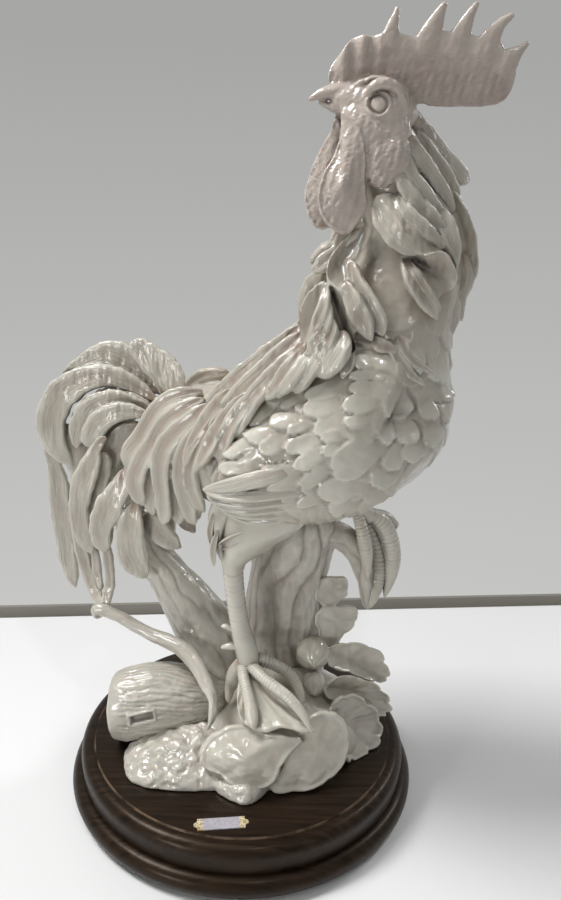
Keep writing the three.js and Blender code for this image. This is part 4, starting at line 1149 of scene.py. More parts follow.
def scutes(count, height):
    """Relief of a number of plates across a leg or toe, height mm high, with narrow grooves between.
    They fade out towards the claw."""

    def relief(points, t, angle):
        plates = np.abs(np.sin(np.pi * count * t)) ** 0.5 - 0.6
        return height * plates * np.clip(1.6 - 1.7 * t, 0, 1) * MM

    return relief


def folded(points, t, angle):
    """Long folds of skin down the thigh, 0.9 mm deep."""
    folds = 0.9 * np.sin(3 * angle + 5 * t + 1.5 * waves(points, 40, 41, 2)) * (1 - t)
    return (folds + 0.3 * waves(points, 12, 42)) * MM


def foot(shank, face, toes):
    """A shank and its toes, each with its own number of scutes."""
    claws = [casting(toe, FRONT, scutes(5 * len(toe), 0.6), rings=180, sides=28) for toe in toes]
    return [casting(shank, face, scutes(30, 0.35), rings=200)] + claws


thigh = [casting(THIGH, FRONT, folded, rings=90, sides=80), casting(THIGH_BACK, FRONT, folded, sides=40)]
thigh.append(ribbon(SLIT, FRONT, width=6, thickness=4.5, point=0.4, hollow=1.3))
thigh += [ribbon(tuft, FRONT, width=3.5, thickness=3) for tuft in TUFTS]
spurs = [casting(spur, FRONT, rings=20, sides=20) for spur in SPURS]
skin("thigh_casting", thigh, white_glaze, "white_glaze", "standing_thigh")
skin("standing_foot", foot(SHANK, FRONT, TOES) + spurs, white_glaze, "white_glaze", "standing_leg")
skin("raised_foot", foot(RAISED_SHANK, UP, RAISED_TOES), white_glaze, "white_glaze", "raised_leg")


# Head: pressed in two halves and luted, with a short stout beak, a ringed eye under a brow, folds of
# wrinkled skin round it and pebbled earlobes. The glaze on the skin has a blush in it.
SKULL = [
    [69, -7, 327, 5, 5], [64, -7, 331, 9, 10], [57, -9, 334, 12, 13], [48, -9, 336, 9.5, 12],
    [39, -9, 338, 6, 7], [33, -9, 339, 3, 4],
]
UPPER_BEAK = [
    [44, -9, 341, 4.4, 4.6], [36, -9, 341.5, 3.8, 3.6], [29, -9, 340.5, 2.6, 2.4],
    [23, -9, 337.5, 0.8, 0.8],
]
LOWER_BEAK = [[44, -9, 334, 4, 2.6], [36, -9, 334.5, 3, 2], [31, -9, 336, 1.8, 1.3], [28, -9, 337, 1, 1]]
CHIN = [[50, -9, 328, 7, 6], [45, -9, 322, 6, 6], [44, -9, 312, 5, 6]]
HEAD_PLANE, SIDEWAYS = (0, -9), (0, 1)
FOLDS = [
    [
        [366, 97, -17, 1, 1.4], [371, 88, -19, 2, 2.4], [383, 83, -20, 2.6, 2.8], [396, 88, -19, 2.4, 2.6],
        [403, 102, -17, 2, 2.4], [406, 122, -16, 1, 1.4],
    ],
    [[350, 88, -12, 0.8, 1], [362, 82, -14, 1.2, 1.6], [376, 78, -15, 1.2, 1.6], [390, 80, -15, 0.8, 1]],
    [
        [334, 104, -11, 0.8, 1], [347, 108, -14, 1.5, 1.8], [358, 116, -17, 1.7, 2],
        [367, 130, -19, 1.2, 1.6], [371, 146, -20, 0.8, 1],
    ],
    [[341, 112, -12, 0.8, 1], [350, 119, -15, 1.5, 1.8], [358, 131, -18, 1.2, 1.6], [361, 146, -19, 0.8, 1]],
    [[372, 122, -20, 0.8, 1], [380, 131, -21, 1.2, 1.5], [392, 135, -20, 0.8, 1]],
    [[392, 118, -19, 0.8, 1], [399, 129, -19, 1.3, 1.6], [404, 142, -18, 0.8, 1]],
]
CHEEKS = [
    [[350, 106, -12, 4, 4], [362, 122, -15, 8, 6], [374, 138, -16, 9, 6], [384, 152, -17, 7, 5]],
    [[372, 116, -14, 6, 5], [388, 128, -15, 9, 6], [396, 146, -15, 8, 6]],
]
EARLOBE = [
    [392, 132, -17, 3, 2.5], [392, 145, -19, 8, 3.4], [387, 161, -20, 9.5, 3.6], [380, 177, -20, 7.5, 3.4],
    [377, 188, -19, 3, 2],
]
EYE = seen([[378.7, 103.5, -21]])[0]
EYE_RADIUS, EYE_RISE, LID_RADIUS, LID_WIDTH = 3.3, 0.9, 4.9, 0.7
SOCKET_RADIUS, SOCKET_WIDTH, SOCKET_DEPTH = 3.6, 0.5, 0.6
BEAK_END, BEAK_BOTTOM, BEAK_TOP = 42, 329, 346
EARLOBE_FRONT, EARLOBE_TOP, COMB_ROOT = 49, 322, 350
PEBBLE_LENGTH, PEBBLE_HEIGHT = 3.0, 0.32
LOBE_PEBBLES, WATTLE_PEBBLES, FACE_PEBBLES, COMB_PEBBLES = 2.0, 1.2, 0.8, 0.4


def skinned(points, normals):
    """The skin's pebbles, coarsest on the earlobes and none on the beak, and the eye on both sides: a lens
    in a socket, inside a raised lid."""
    x, y, z = np.moveaxis(points / MM, -1, 0)
    z = z - TOP
    away = np.hypot(x - EYE[0], z - EYE[2])
    lens = np.sqrt(np.clip(1 - (away / EYE_RADIUS) ** 2, 0, 1)) * EYE_RISE
    lid = np.exp(-(((away - LID_RADIUS) / LID_WIDTH) ** 2))
    socket = SOCKET_DEPTH * np.exp(-(((away - SOCKET_RADIUS) / SOCKET_WIDTH) ** 2))
    side = np.clip(np.abs(normals[:, 1]) * 2 - 0.6, 0, 1)
    beak = np.clip((BEAK_END - x) / 4, 0, 1)
    beak *= np.clip((z - BEAK_BOTTOM) / 3, 0, 1)
    beak *= np.clip((BEAK_TOP - z) / 3, 0, 1)
    skin_share = (1 - beak) * np.clip((away - 5) / 2, 0, 1)
    hanging = np.where(x > EARLOBE_FRONT, LOBE_PEBBLES, WATTLE_PEBBLES)
    upper = np.where(z > COMB_ROOT, COMB_PEBBLES, FACE_PEBBLES)
    height = np.where(z < EARLOBE_TOP, hanging, upper) * PEBBLE_HEIGHT
    return side * (lens + (lid - socket)) + skin_share * height * waves(points, PEBBLE_LENGTH, 51, 2)


# Comb and wattles: flat sheets of clay with pebbled faces and thin rounded edges, luted on the head while
# soft. Each row of the comb joins a picture point of its upper edge to one of its root. Its front is
# folded, and its five spikes are rolled apart. The whole head is then one blush-glazed skin.
COMB = [
    [334, 86, 337, 91], [328, 79, 340, 92], [331, 66, 345, 92], [341, 52, 350, 92], [350, 40, 356, 91],
    [361, 35, 362, 90], [375, 35, 368, 89], [388, 30, 378, 89], [401, 33, 387, 92], [415, 36, 396, 95],
    [427, 32, 402, 97], [443, 31, 413, 103], [455, 31, 422, 104], [468, 33, 431, 106], [480, 37, 446, 107],
    [492, 37, 460, 107], [501, 42, 470, 107], [506, 52, 480, 107], [513, 60, 487, 106], [516, 72, 494, 105],
    [512, 88, 499, 103], [504, 101, 502, 102],
]
SPIKES = [
    [[389, 48, -8, 5, 2.2], [392, 30, -8, 3.4, 2], [395.5, 16, -8, 1.8, 1.6], [398, 6, -8, 0.9, 1]],
    [[422, 58, -8, 7, 2.2], [431, 34, -8, 5, 2], [439, 15, -8, 2.8, 1.7], [446, 1.5, -8, 1.1, 1.1]],
    [[449, 58, -8, 7, 2.2], [461, 34, -8, 4.4, 2], [470, 15, -8, 2.4, 1.6], [478.5, 1.5, -8, 1, 1.1]],
    [[478, 62, -8, 7, 2.2], [490, 40, -8, 4.6, 2], [501, 24, -8, 2.5, 1.7], [514, 14, -8, 1.2, 1.2]],
    [[498, 76, -8, 6, 2.2], [511, 58, -8, 4.4, 2], [520, 50, -8, 2.2, 1.6], [529, 41.5, -8, 1, 1.1]],
]
COMB_PLANE, COMB_HALF_THICKNESS, COMB_THINNING = -8, 2.3, 0.4
COMB_FOLDS_END, COMB_FOLDS_FADE, COMB_FOLD_LENGTH, COMB_FOLD_DEPTH = 60, 12, 8, 1.1
COMB_BUMPS = 0.3
WATTLE_RIGHT = {
    "middle": [343, 185, -26],
    "rim": [
        [342, 110, -14], [353, 115, -17], [362, 129, -19], [366, 150, -20], [366, 178, -21],
        [367, 203, -21], [362, 219, -21], [348, 235, -20], [334, 231, -20], [322, 217, -20],
        [318, 197, -20], [323, 175, -19], [335, 153, -17], [341, 131, -14],
    ],
    "sag": 1.5,
}
WATTLE_LEFT = {
    "middle": [325, 180, -6],
    "rim": [
        [336, 116, -9], [346, 130, -9], [347, 160, -6], [344, 195, -4], [336, 224, -2], [317, 228, -2],
        [307, 211, -2], [305, 192, -2], [312, 167, -4], [323, 144, -6], [331, 129, -8],
    ],
    "sag": -1.5,
}
WATTLE_FORM = {"thickness": 5.5, "roll": 1.3, "pebbles": 0.3}


def comb_sheet(rows):
    """The comb as a strand: a section runs from root to edge, thick at the root and thin at the edge."""
    round_section = np.linspace(0, 2 * np.pi, 64, endpoint=False)
    t, angle = np.meshgrid(np.linspace(0, 1, 640), round_section, indexing="ij")
    rows = np.array(rows, float)
    plane = np.full((len(rows), 1), float(COMB_PLANE))
    high = flowing(seen(np.hstack([rows[:, :2], plane])), t)
    low = flowing(seen(np.hstack([rows[:, 2:], plane])), t)
    ends = rounded(t, 0.02)
    along = (low + high) / 2 + (high - low) / 2 * (np.cos(angle) * ends)[..., None]
    share = (1 + np.cos(angle)) / 2
    front = np.clip((COMB_FOLDS_END - along[..., 0]) / COMB_FOLDS_FADE, 0, 1)
    fold = COMB_FOLD_DEPTH * np.sin(2 * np.pi * along[..., 0] / COMB_FOLD_LENGTH) * front * share
    half = COMB_HALF_THICKNESS * (1 - COMB_THINNING * share) * ends
    depth = COMB_PLANE - np.sign(np.sin(angle)) * np.abs(np.sin(angle)) ** RIM_POWER * half + fold
    points = np.stack([along[..., 0], depth, along[..., 2]], axis=-1) * MM + [0, 0, plinth_top]
    bumps = COMB_BUMPS * MM * waves(points, 5, 52, 2) * np.clip(1.3 - share, 0, 1)
    points[..., 1] -= np.sign(np.sin(angle)) * bumps
    return points, along[..., :2] * 0, np.clip(0.85 - 0.9 * share**3, 0, 1)


face_side = [casting(seen(row), FRONT, rings=40, sides=16) for row in FOLDS]
face_side += [casting(seen(row), FRONT, rings=40, sides=30) for row in CHEEKS]
face_side.append(casting(seen(EARLOBE), FRONT, rings=50, sides=40))
head = [casting(rows, UP, sides=50) for rows in (SKULL, UPPER_BEAK, LOWER_BEAK)]
head.append(casting(CHIN, FRONT, rings=40, sides=40))
head += face_side + far_side(face_side, HEAD_PLANE, SIDEWAYS)
head += [casting(seen(row), FRONT, sides=28, blunt=0.04) for row in SPIKES]
head += [comb_sheet(COMB), sheet(**WATTLE_RIGHT, **WATTLE_FORM), sheet(**WATTLE_LEFT, **WATTLE_FORM)]
head_mesh = fused("head_form", head, grain=0.5, passes=7)
sculpted(head_mesh, skinned, high=1.5)
placed("head_pressing", head_mesh, blush_glaze, "blush_glaze", "head", "comb", "wattle_right", "wattle_left")


# Saddle: long narrow feathers fall over the flank from the back. Each was rolled, hollowed with a tool
# and laid on the one before it, and those between them are set a little deeper. Their rows are picture
# points with the depth y and the half sizes in mm, as are those of the tail and the hackles.
SADDLE_FACE = [-0.45, -0.85, 0.3]
SADDLES = {
    "saddle_feathers_upper": [
        [203.5, 391.5, -10, 2.7, 2.5], [175, 397.5, -8, 3.5, 3], [159, 408, -7, 3.5, 3],
        [150, 421, -5, 3.7, 3], [140.5, 437.5, -4, 3.9, 3], [130, 452.5, -2, 3.9, 3], [126, 469, 0, 1.8, 2],
    ],
    "saddle_feather_middle": [
        [205.5, 398.5, -15, 2.4, 2.5], [181, 411, -14, 3.1, 3], [164, 424, -12, 3.3, 3],
        [153.5, 442.5, -11, 3.7, 3], [142.5, 461, -9, 4.5, 3], [136, 479, -7, 4.7, 3],
        [138.5, 495.5, -6, 3.7, 2.5], [143.5, 506, -5, 1.4, 1.5],
    ],
    "saddle_feather_long": [
        [210, 403.5, -20, 2.4, 2.5], [193.5, 418, -20, 2.9, 3], [177, 432, -19, 3.9, 3],
        [164, 450.5, -18, 4.7, 3.5], [160.5, 471, -16, 4.3, 3], [163, 493.5, -13, 3.9, 3],
        [164.5, 514, -11, 3.3, 2.5], [162, 525, -10, 1.4, 1.5],
    ],
    "saddle_feather_inner": [
        [215, 408, -25, 2.2, 2.5], [200.5, 428, -25, 2.7, 3], [186.5, 450.5, -24, 3.7, 3],
        [181, 473, -22, 3.9, 3], [185, 495.5, -18, 3.9, 3], [190.5, 514, -15, 3.5, 2.5],
        [195.5, 525, -14, 1.4, 1.5],
    ],
    "saddle_feather_front": [
        [219, 416, -28, 2.2, 2.5], [204.5, 436.5, -29, 2.4, 3], [194.5, 456.5, -28, 3.1, 3],
        [191, 477, -26, 3.3, 3], [196, 497.5, -22, 3.3, 2.5], [204.5, 513, -18, 1.4, 1.5],
    ],
}
BETWEEN_DEPTH, SADDLE_SPREAD = 3.0, 1.3
FEATHER_GRAIN = 0.6


def between(first, second, deeper):
    """The path halfway between two paths, moved away from the viewer by deeper mm."""
    t = np.linspace(0, 1, 7)
    first, second = flowing(np.array(first, float), t), flowing(np.array(second, float), t)
    return (first + second) / 2 + [0, 0, deeper, 0, 0]


def saddle(path):
    """A saddle feather: a strand with a deep trough between thick uneven rims."""
    rows = seen(path) * [1, 1, 1, SADDLE_SPREAD, 1]
    return ribbon(rows, SADDLE_FACE, hollow=0.5, ragged=0.1, rings=80, sides=36)


paths = list(SADDLES.values())
saddles = [saddle(path) for path in paths]
saddles += [saddle(between(first, second, BETWEEN_DEPTH)) for first, second in zip(paths, paths[1:])]
saddle_mesh = fused("saddle_form", saddles, FEATHER_GRAIN, passes=6)
far_saddle_mesh = fused("far_saddle_form", far_side(saddles), FEATHER_GRAIN, passes=6)
placed("saddle_hackles", saddle_mesh, feather_glaze, "white_glaze", *SADDLES)
placed("saddle_hackles_far", far_saddle_mesh, feather_glaze, "white_glaze", "saddle_feathers_left")


# Tail: broad strips of clay, combed along and bent over a former: great sickles outside, a hollow of
# soft coverts inside, two plumes that trail down behind, and a ragged crest that stands on the root.
TAIL_FACE = [-0.15, -1, 0.1]
TAIL = {
    "sickle_top": [
        [167, 396.5, 26, 1.6, 2], [150.5, 379, 29, 6.5, 3], [130, 362, 31, 8.8, 3.5],
        [108, 353.5, 32, 6.9, 3.5], [83.5, 360.5, 33, 3.7, 3], [61, 373.5, 34, 0.9, 1.5],
    ],
    "sickle_outer": [
        [159, 401.5, 22, 1.6, 2], [138.5, 387.5, 25, 4.5, 3], [112, 376, 26, 5.8, 3.5],
        [85.5, 379, 27, 6.9, 4], [63, 393.5, 28, 8.6, 4], [52.5, 414, 29, 8.8, 4],
        [52.5, 434.5, 29, 8, 3.5], [60, 450.5, 28, 5.9, 3], [73, 467.5, 27, 2.4, 1.5],
    ],
    "sickle_third": [
        [153.5, 408, 18, 1.6, 2], [134.5, 402, 20, 3.4, 2.5], [116, 399, 20, 5.2, 3],
        [99.5, 404, 21, 6.7, 3], [85.5, 415, 22, 6.7, 3], [78, 431, 23, 5.2, 2.5],
        [76, 448.5, 24, 2.7, 1.5],
    ],
    "sickle_fourth": [
        [148.5, 414.5, 13, 2.2, 2], [130, 411, 15, 4.3, 2.5], [113, 413, 15, 5.4, 3], [99, 423, 16, 6.2, 3],
        [91.5, 436.5, 17, 5.8, 3], [92, 448.5, 18, 4.3, 2],
    ],
    "inner_hollow": [
        [144.5, 426, 17, 3.2, 2], [126, 434.5, 19, 6.7, 2.5], [113, 450.5, 20, 7.1, 2.5],
        [106.5, 469, 20, 5.4, 2], [101.5, 487.5, 20, 2.7, 1.5],
    ],
    "backing": [
        [160, 403, 25, 3, 2], [130, 404, 29, 9, 2.5], [102, 415, 30, 13, 2.5], [84, 440, 29, 11, 2.5],
        [86, 470, 27, 10, 2], [92, 500, 24, 5, 1.5],
    ],
    "hanging": [
        [106, 436, 13, 3, 2], [96, 448.5, 13, 3, 2], [91.5, 463, 13, 5.4, 3], [83.5, 483.5, 13, 6.5, 3.5],
        [79.5, 503.5, 14, 6, 3.5], [80.5, 524, 15, 5.8, 3], [86.5, 541.5, 16, 4.8, 2.5],
        [92, 554.5, 17, 1.5, 1.5],
    ],
    "hanging_inner": [
        [104.5, 450.5, 14, 2.6, 2], [104.5, 467, 15, 4.1, 2.5], [100, 485.5, 15, 4.1, 2.5],
        [93.5, 503.5, 16, 2.4, 2], [90.5, 516, 17, 1.1, 1.5],
    ],
    "strap": [
        [128, 465.5, 2, 2.2, 2], [120.5, 486.5, 1, 5.4, 3], [109, 506.5, 0, 7.1, 3.5],
        [102, 525, 2, 6.9, 3.5], [102, 541.5, 5, 5.4, 3], [106.5, 552, 8, 1.9, 2],
    ],
    "cup": [
        [136.5, 499.5, 0, 2.6, 2], [132, 519, -2, 6.5, 3], [130, 538.5, -2, 8.4, 3.5],
        [132.5, 556.5, 0, 8.4, 3.5], [140.5, 570, 3, 5.6, 3], [147, 577.5, 5, 1.7, 1.5],
    ],
    "pointed": [
        [144.5, 513, 4, 4.1, 2.5], [159, 530, 3, 6.7, 3], [172, 542, 3, 4.7, 2.5],
        [182, 548.5, 4, 0.9, 1.5],
    ],
    "plume_far": [
        [46, 440, 32, 2.8, 2], [53.5, 460, 36, 3.8, 2.5], [59, 483.5, 38, 6.2, 3], [62, 514, 41, 6.4, 3],
        [66, 540.5, 43, 6, 3], [70, 565, 43, 5.4, 3], [76, 588.5, 42, 2.2, 1.5],
    ],
    "plume_long": [
        [74, 500, 22, 2.7, 2], [79, 536.5, 26, 3.7, 2.5], [85.5, 561, 28, 4.3, 3],
        [93.5, 585.5, 26, 4.1, 3], [100, 603.5, 20, 2.8, 2.5], [101.5, 612, 14, 1.1, 2],
    ],
    "bow": [
        [105.5, 540, 12, 2.6, 2], [110, 573, 15, 2.9, 2.5], [108, 594.5, 13, 3, 2.5],
        [101, 611, 10, 3, 2.5], [96, 619, 8, 0.9, 1.5],
    ],
    "quill": [
        [94.5, 545, 22, 2.2, 2], [97.5, 571, 22, 2.6, 2], [101.5, 589.5, 18, 1.3, 1.5],
    ],
}
CREST = [
    [[166, 393, 24, 3, 2], [158, 372, 25, 6, 2.5], [142, 350, 27, 6, 2.5], [130, 343, 28, 2, 1.5]],
    [[170, 394, 22, 3, 2], [165, 376, 23, 5, 2.5], [156, 356, 24, 5, 2.5], [146, 343, 25, 2, 1.5]],
    [[174, 394, 20, 3, 2], [172, 380, 21, 4.5, 2.5], [167, 362, 22, 4.5, 2.5], [160, 350, 23, 1.5, 1.5]],
    [[178, 395, 18, 3, 2], [178, 384, 19, 4, 2.5], [175, 370, 20, 4, 2.5], [170, 360, 21, 1.5, 1.5]],
]
TAIL_GROUPS = {
    "tail_sickles": (
        ["sickle_top", "sickle_outer", "sickle_third", "sickle_fourth", "inner_hollow", "backing"],
        ["tail_sickle_outer", "tail_sickle_second", "tail_sickle_third", "tail_covert_inner"],
    ),
    "tail_hanging_sickle": (["hanging", "hanging_inner"], ["tail_sickle_light"]),
    "tail_coverts": (
        ["strap", "cup", "pointed"],
        ["tail_covert_broad", "tail_covert_low", "tail_covert_pointed"],
    ),
    "tail_far_plume": (["plume_far"], ["tail_plume_far"]),
    "tail_long_plume": (["plume_long", "bow", "quill"], ["tail_plume_long"]),
}


def tail_feather(rows):
    """A tail feather: a broad strand with a shallow trough and uneven combed edges."""
    return ribbon(seen(rows), TAIL_FACE, hollow=0.35, ragged=0.1, rings=110, sides=44)


def rippled(points, normals):
    """Soft ripples about 0.45 mm high, some 6 mm long in x, 9 mm in y and 13 mm in z."""
    return 0.45 * waves(points * [1.6, 1, 0.7], 9, 71, 2)


tail = {name: tail_feather(rows) for name, rows in TAIL.items()}
crest = [ribbon(seen(rows), TAIL_FACE, hollow=0.3, ragged=0.25, rings=60, sides=32) for rows in CREST]
far_sickles = [tail[name] for name in ("sickle_third", "sickle_fourth", "hanging", "hanging_inner")]
far_coverts = [tail[name] for name in ("strap", "cup", "pointed")]
groups = {name: ([tail[part] for part in parts], nodes) for name, (parts, nodes) in TAIL_GROUPS.items()}
groups["tail_crest"] = (crest, ["tail_crest_feathers"])
groups["tail_sickles_far"] = (far_side(far_sickles), ["tail_sickles_left"])
groups["tail_coverts_far"] = (far_side(far_coverts), ["tail_coverts_left"])
for name, (strands, nodes) in groups.items():
    tail_mesh = fused(name + "_form", strands, FEATHER_GRAIN, passes=5)
    sculpted(tail_mesh, rippled, high=2)
    placed(name, tail_mesh, feather_glaze, "white_glaze", *nodes)


# Hackles: the long loose feathers of the neck, rolled thin and laid on in wide curling sheets and strips.
# They part over the bare throat, sweep down over the shoulder and back, and cover the nape with tufts
# whose tips stand free.
NECK_PLANE = (0, -6)
CHEEK_SHEET = {
    "middle": [400, 232, -31],
    "rim": [
        [371, 206, -20], [378, 195, -20], [398, 194, -18], [403, 208, -22], [411, 222, -25],
        [428, 229, -25], [439, 242, -24], [441, 250, -24], [434, 260, -30], [420, 256, -32],
        [401, 249, -32], [385, 236, -29], [374, 221, -24],
    ],
    "sag": -1.5,
}
CUP_SHEET = {
    "middle": [434, 272, -29],
    "rim": [
        [401, 256, -29], [412, 252, -32], [424, 254, -35], [440, 250, -34], [451, 259, -32],
        [457, 275, -28], [453, 288, -27], [443, 294, -30], [434, 302, -33], [423, 292, -35],
        [410, 274, -34],
    ],
    "sag": 4,
}
NAPE_SHEET = {
    "middle": [456, 240, -17],
    "rim": [
        [417, 176, -12], [436, 178, -6], [454, 194, -2], [467, 222, 0], [472, 247, 0], [471, 271, 0],
        [464, 289, -5], [456, 297, -12], [452, 280, -22], [454, 264, -25], [447, 247, -26], [439, 233, -25],
        [430, 215, -20],
    ],
    "sag": 1,
}
COLLAR_SHEET = {
    "middle": [341, 262, -26],
    "rim": [
        [347, 238, -21], [336, 249, -24], [328, 262, -28], [326, 278, -32], [334, 288, -35],
        [348, 296, -36], [352, 284, -33], [353, 264, -27], [358, 246, -22], [362, 228, -18],
    ],
    "sag": 3.5,
}
OUTER_SHEET = {
    "middle": [312, 318, -31],
    "rim": [
        [326, 281, -28], [312, 290, -28], [303, 303, -29], [299, 320, -30], [300, 337, -31],
        [305, 352, -33], [312, 346, -36], [317, 332, -38], [325, 313, -38], [328, 297, -35],
    ],
    "sag": 2.5,
}
DARK_SHEET = {
    "middle": [341, 322, -36],
    "rim": [
        [326, 281, -31], [336, 290, -34], [348, 301, -37], [354, 320, -39], [356, 341, -41],
        [355, 360, -42], [347, 358, -43], [339, 345, -43], [331, 328, -41], [326, 306, -37],
    ],
    "sag": 4,
}
CHEEK = [
    [
        [398, 194, -20, 2, 2], [405, 211, -26, 3.5, 3], [418, 224, -28, 3.5, 3], [431, 235, -28, 3, 2.5],
        [444, 249, -25, 1, 1],
    ],
    [[410, 188, -16, 2, 2], [420, 206, -22, 4, 3], [434, 222, -23, 4, 3], [446, 240, -21, 1.5, 1.5]],
    [[402, 148, -16, 2, 2], [411, 174, -20, 3.4, 3], [427, 197, -20, 3.4, 3], [444, 214, -18, 1.2, 1.5]],
    [[409, 134, -13, 2, 2], [423, 162, -16, 3.6, 3], [440, 188, -14, 3.6, 3], [455, 211, -11, 1.2, 1.5]],
    [[396, 168, -19, 2, 2], [405, 188, -22, 3.4, 3], [421, 209, -23, 3.4, 3], [437, 226, -22, 1.2, 1.5]],
    [[436, 204, -17, 2, 2], [446, 224, -21, 4, 3], [452, 246, -23, 4, 3], [457, 270, -20, 1.2, 1.5]],
    [[416, 130, -8, 2, 2], [432, 156, -9, 3.6, 3], [449, 183, -8, 3.6, 3], [462, 208, -4, 1.2, 1.5]],
    [
        [374, 204, -20, 2, 2], [378, 222, -27, 2.2, 2.5], [388, 238, -31, 2.2, 2.5],
        [402, 250, -33, 1.8, 2], [416, 256, -33, 0.8, 1],
    ],
]
THROAT = [
    [[403, 258, -28, 2, 3], [412, 277, -34, 4, 3.5], [424, 297, -35, 4.5, 3], [437, 320, -32, 1, 1.5]],
    [[410, 262, -28, 2, 2], [421, 282, -32, 2.5, 3], [431, 298, -33, 2.5, 3], [440, 312, -31, 1, 1.5]],
    [[389, 338, -38, 2, 2], [396, 357, -41, 2.4, 2.4], [408, 371, -41, 2.2, 2.2], [425, 386, -38, 0.8, 1]],
    [[398, 334, -37, 2, 2], [406, 352, -40, 2.2, 2.4], [418, 364, -39, 2, 2.2], [434, 374, -34, 0.8, 1]],
    [[370, 338, -38, 2, 2], [383, 346, -41, 3.2, 2.6], [398, 350, -40, 1, 1.5]],
]
NAPE = [
    [[450, 272, -8, 5, 4], [454, 298, -9, 6, 4], [462, 322, -8, 0.8, 1]],
    [[446, 286, -14, 5, 4], [448, 312, -14, 6, 4], [443, 340, -14, 4, 3], [445, 356, -14, 1, 1.5]],
    [[458, 250, -4, 5, 5], [462, 275, -4, 5, 5], [456, 300, -6, 4, 4], [449, 322, -8, 2, 2]],
    [
        [408, 110, -4, 3, 4], [421, 131, 0, 4.4, 4.5], [437, 152, 2, 5, 4.5], [452, 168, 3, 4.8, 4.2],
        [463, 178, 3, 3.8, 3.6], [470, 181, 3, 1.4, 1.5],
    ],
    [
        [408, 128, -4, 4, 4], [424, 148, 0, 4.6, 4], [440, 167, 1, 4.4, 4], [453, 182, 2, 3, 3],
        [459, 188, 2, 1.2, 1.2],
    ],
    [[396, 150, -8, 5, 5], [414, 172, -4, 6, 5], [434, 190, -2, 6, 5], [450, 206, -2, 3, 3]],
]
CAPE = [
    [[362, 222, -14, 3, 3], [347, 236, -19, 4.5, 3.5], [333, 251, -18, 1.8, 2]],
    [[346, 247, -18, 3, 3], [328, 261, -21, 4.5, 3.5], [312, 272, -20, 1.8, 2]],
    [
        [350, 258, -26, 2, 3], [357, 285, -33, 4.4, 3.5], [368, 304, -37, 5, 3.5], [378, 321, -39, 4.4, 3],
        [384, 338, -40, 1, 1.5],
    ],
    [[345, 280, -32, 2, 3], [354, 303, -38, 4.4, 3.5], [364, 323, -40, 4.6, 3], [372, 342, -42, 1, 1.5]],
    [[327, 284, -32, 1.5, 2], [324, 306, -38, 2.6, 3], [316, 328, -40, 3, 3], [308, 348, -39, 1, 1.5]],
    [[329, 300, -36, 1.5, 2], [326, 324, -41, 3, 3], [315, 346, -41, 3.2, 3], [306, 368, -40, 1, 1.5]],
    [[333, 318, -40, 1.5, 2], [331, 336, -43, 3.2, 3], [321, 354, -43, 3.2, 3], [311, 372, -42, 1, 1.5]],
    [[352, 352, -42, 1.5, 2], [348, 366, -44, 3, 3], [341, 379, -45, 1, 1.5]],
]
SHOULDER_CAPE = [
    [[346, 332, -40, 3, 3], [338, 348, -44, 6.5, 4], [329, 363, -45, 6.5, 4], [319, 378, -45, 3, 2.5]],
    [[324, 350, -41, 2.5, 3], [314, 367, -44, 3.2, 3], [303, 384, -44, 3, 3], [295, 394, -43, 1.2, 2]],
    [[313, 350, -38, 2.5, 3], [301, 368, -42, 3.4, 3], [288, 385, -43, 3.2, 3], [277, 398, -42, 1.2, 2]],
]
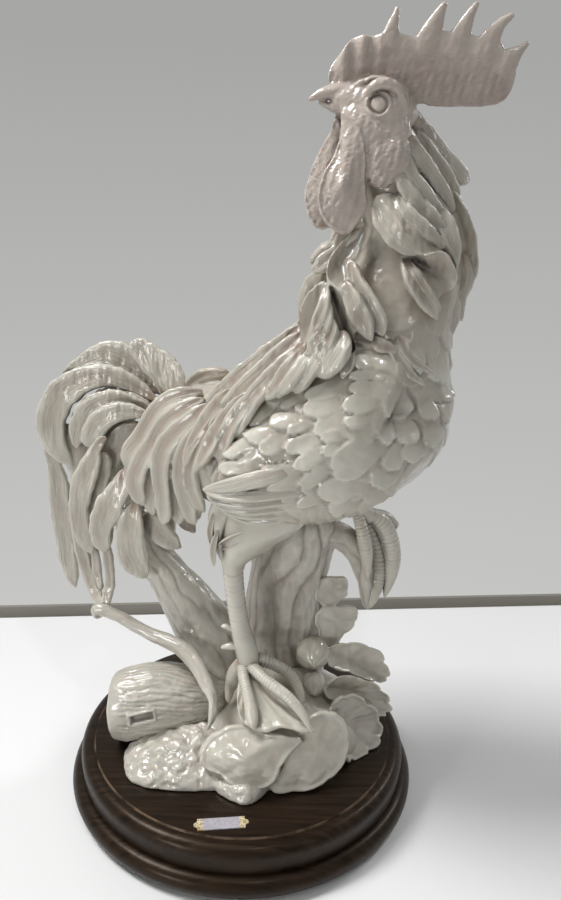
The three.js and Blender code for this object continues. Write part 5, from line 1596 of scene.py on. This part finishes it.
MANTLE = [
    [
        [304, 324, -20, 2.5, 3], [285, 343, -20, 4.5, 4], [262, 360, -18, 5, 4], [238, 379, -16, 5, 4],
        [216, 398, -14, 4.5, 3.5], [196, 414, -13, 1.5, 2],
    ],
    [
        [306, 332, -27, 2.5, 3], [288, 350, -29, 5, 4], [268, 368, -29, 5.2, 3.5], [248, 386, -29, 5, 3.5],
        [229, 407, -28, 4.4, 3], [216, 428, -27, 1.5, 2],
    ],
    [
        [307, 342, -32, 2.5, 3], [291, 361, -36, 5, 3.5], [272, 379, -37, 5, 3.5],
        [254, 398, -38, 4.6, 3.5], [242, 420, -38, 3.8, 3], [236, 438, -37, 1.2, 2],
    ],
    [[304, 352, -36, 2.5, 3], [291, 369, -40, 4.4, 3.5], [278, 386, -41, 4, 3], [266, 400, -41, 1.2, 2]],
    [
        [262, 392, -36, 2.5, 3], [246, 404, -37, 4, 3], [231, 426, -37, 4.2, 3], [223, 448, -37, 3.4, 3],
        [219, 464, -36, 1.2, 2],
    ],
    [
        [250, 394, -32, 2.5, 3], [234, 410, -33, 4.4, 3], [217, 432, -34, 4.4, 3], [205, 455, -35, 3.6, 3],
        [193, 474, -35, 1, 1.5],
    ],
    [
        [236, 388, -24, 2.5, 3], [220, 404, -25, 4.4, 3], [204, 425, -26, 4.4, 3], [192, 448, -27, 3.6, 3],
        [184, 468, -27, 1, 1.5],
    ],
]
HACKLE_THICKNESS, HACKLE_ROLL = 3.0, 0.7


def curled(form):
    """A wide hackle: a thin sheet with a rolled rim."""
    return sheet(**form, thickness=HACKLE_THICKNESS, roll=HACKLE_ROLL, pleats=(5, 0.5))


def hackles(rows, face, **form):
    """Hackles from rows of picture points, which hollow and face the same way."""
    return [ribbon(seen(row), face, rings=60, sides=32, **form) for row in rows]


cheek = [curled(CHEEK_SHEET)] + hackles(CHEEK, [0.1, -1, 0.2], hollow=0.3)
throat = [curled(CUP_SHEET)] + hackles(THROAT, [0.3, -1, 0.1], hollow=0.5)
nape = [curled(NAPE_SHEET)] + hackles(NAPE, [0.5, -1, 0.2], hollow=0.2, ragged=0.12)
cape = [curled(form) for form in (COLLAR_SHEET, OUTER_SHEET, DARK_SHEET)]
cape += hackles(CAPE, [-0.4, -0.9, 0.1], hollow=0.45)
shoulder = hackles(SHOULDER_CAPE, [-0.4, -0.8, 0.3], hollow=0.2)
mantle = hackles(MANTLE, [-0.45, -0.8, 0.4], hollow=0.5, ragged=0.05)
far_cape = far_side(cape + shoulder, NECK_PLANE, SIDEWAYS) + far_side(mantle)
far_nape = far_side(cheek + throat + nape[:4], NECK_PLANE, SIDEWAYS)
HACKLE_GROUPS = {
    "neck_hackles": (cheek + throat + nape, ["cheek_feathers", "throat_petals", "nape_feathers"]),
    "cape_hackles": (cape + shoulder, ["cape_feathers_right", "cape_feathers_outer"]),
    "mantle_hackles": (mantle, ["mantle_feathers"]),
    "cape_hackles_far": (far_cape, ["cape_feathers_left"]),
    "neck_hackles_far": (far_nape, ["nape_feathers_left"]),
}
for name, (strands, nodes) in HACKLE_GROUPS.items():
    hackle_mesh = fused(name + "_form", strands, FEATHER_GRAIN, passes=6)
    sculpted(hackle_mesh, rippled, high=2)
    placed(name, hackle_mesh, feather_glaze, "white_glaze", *nodes)
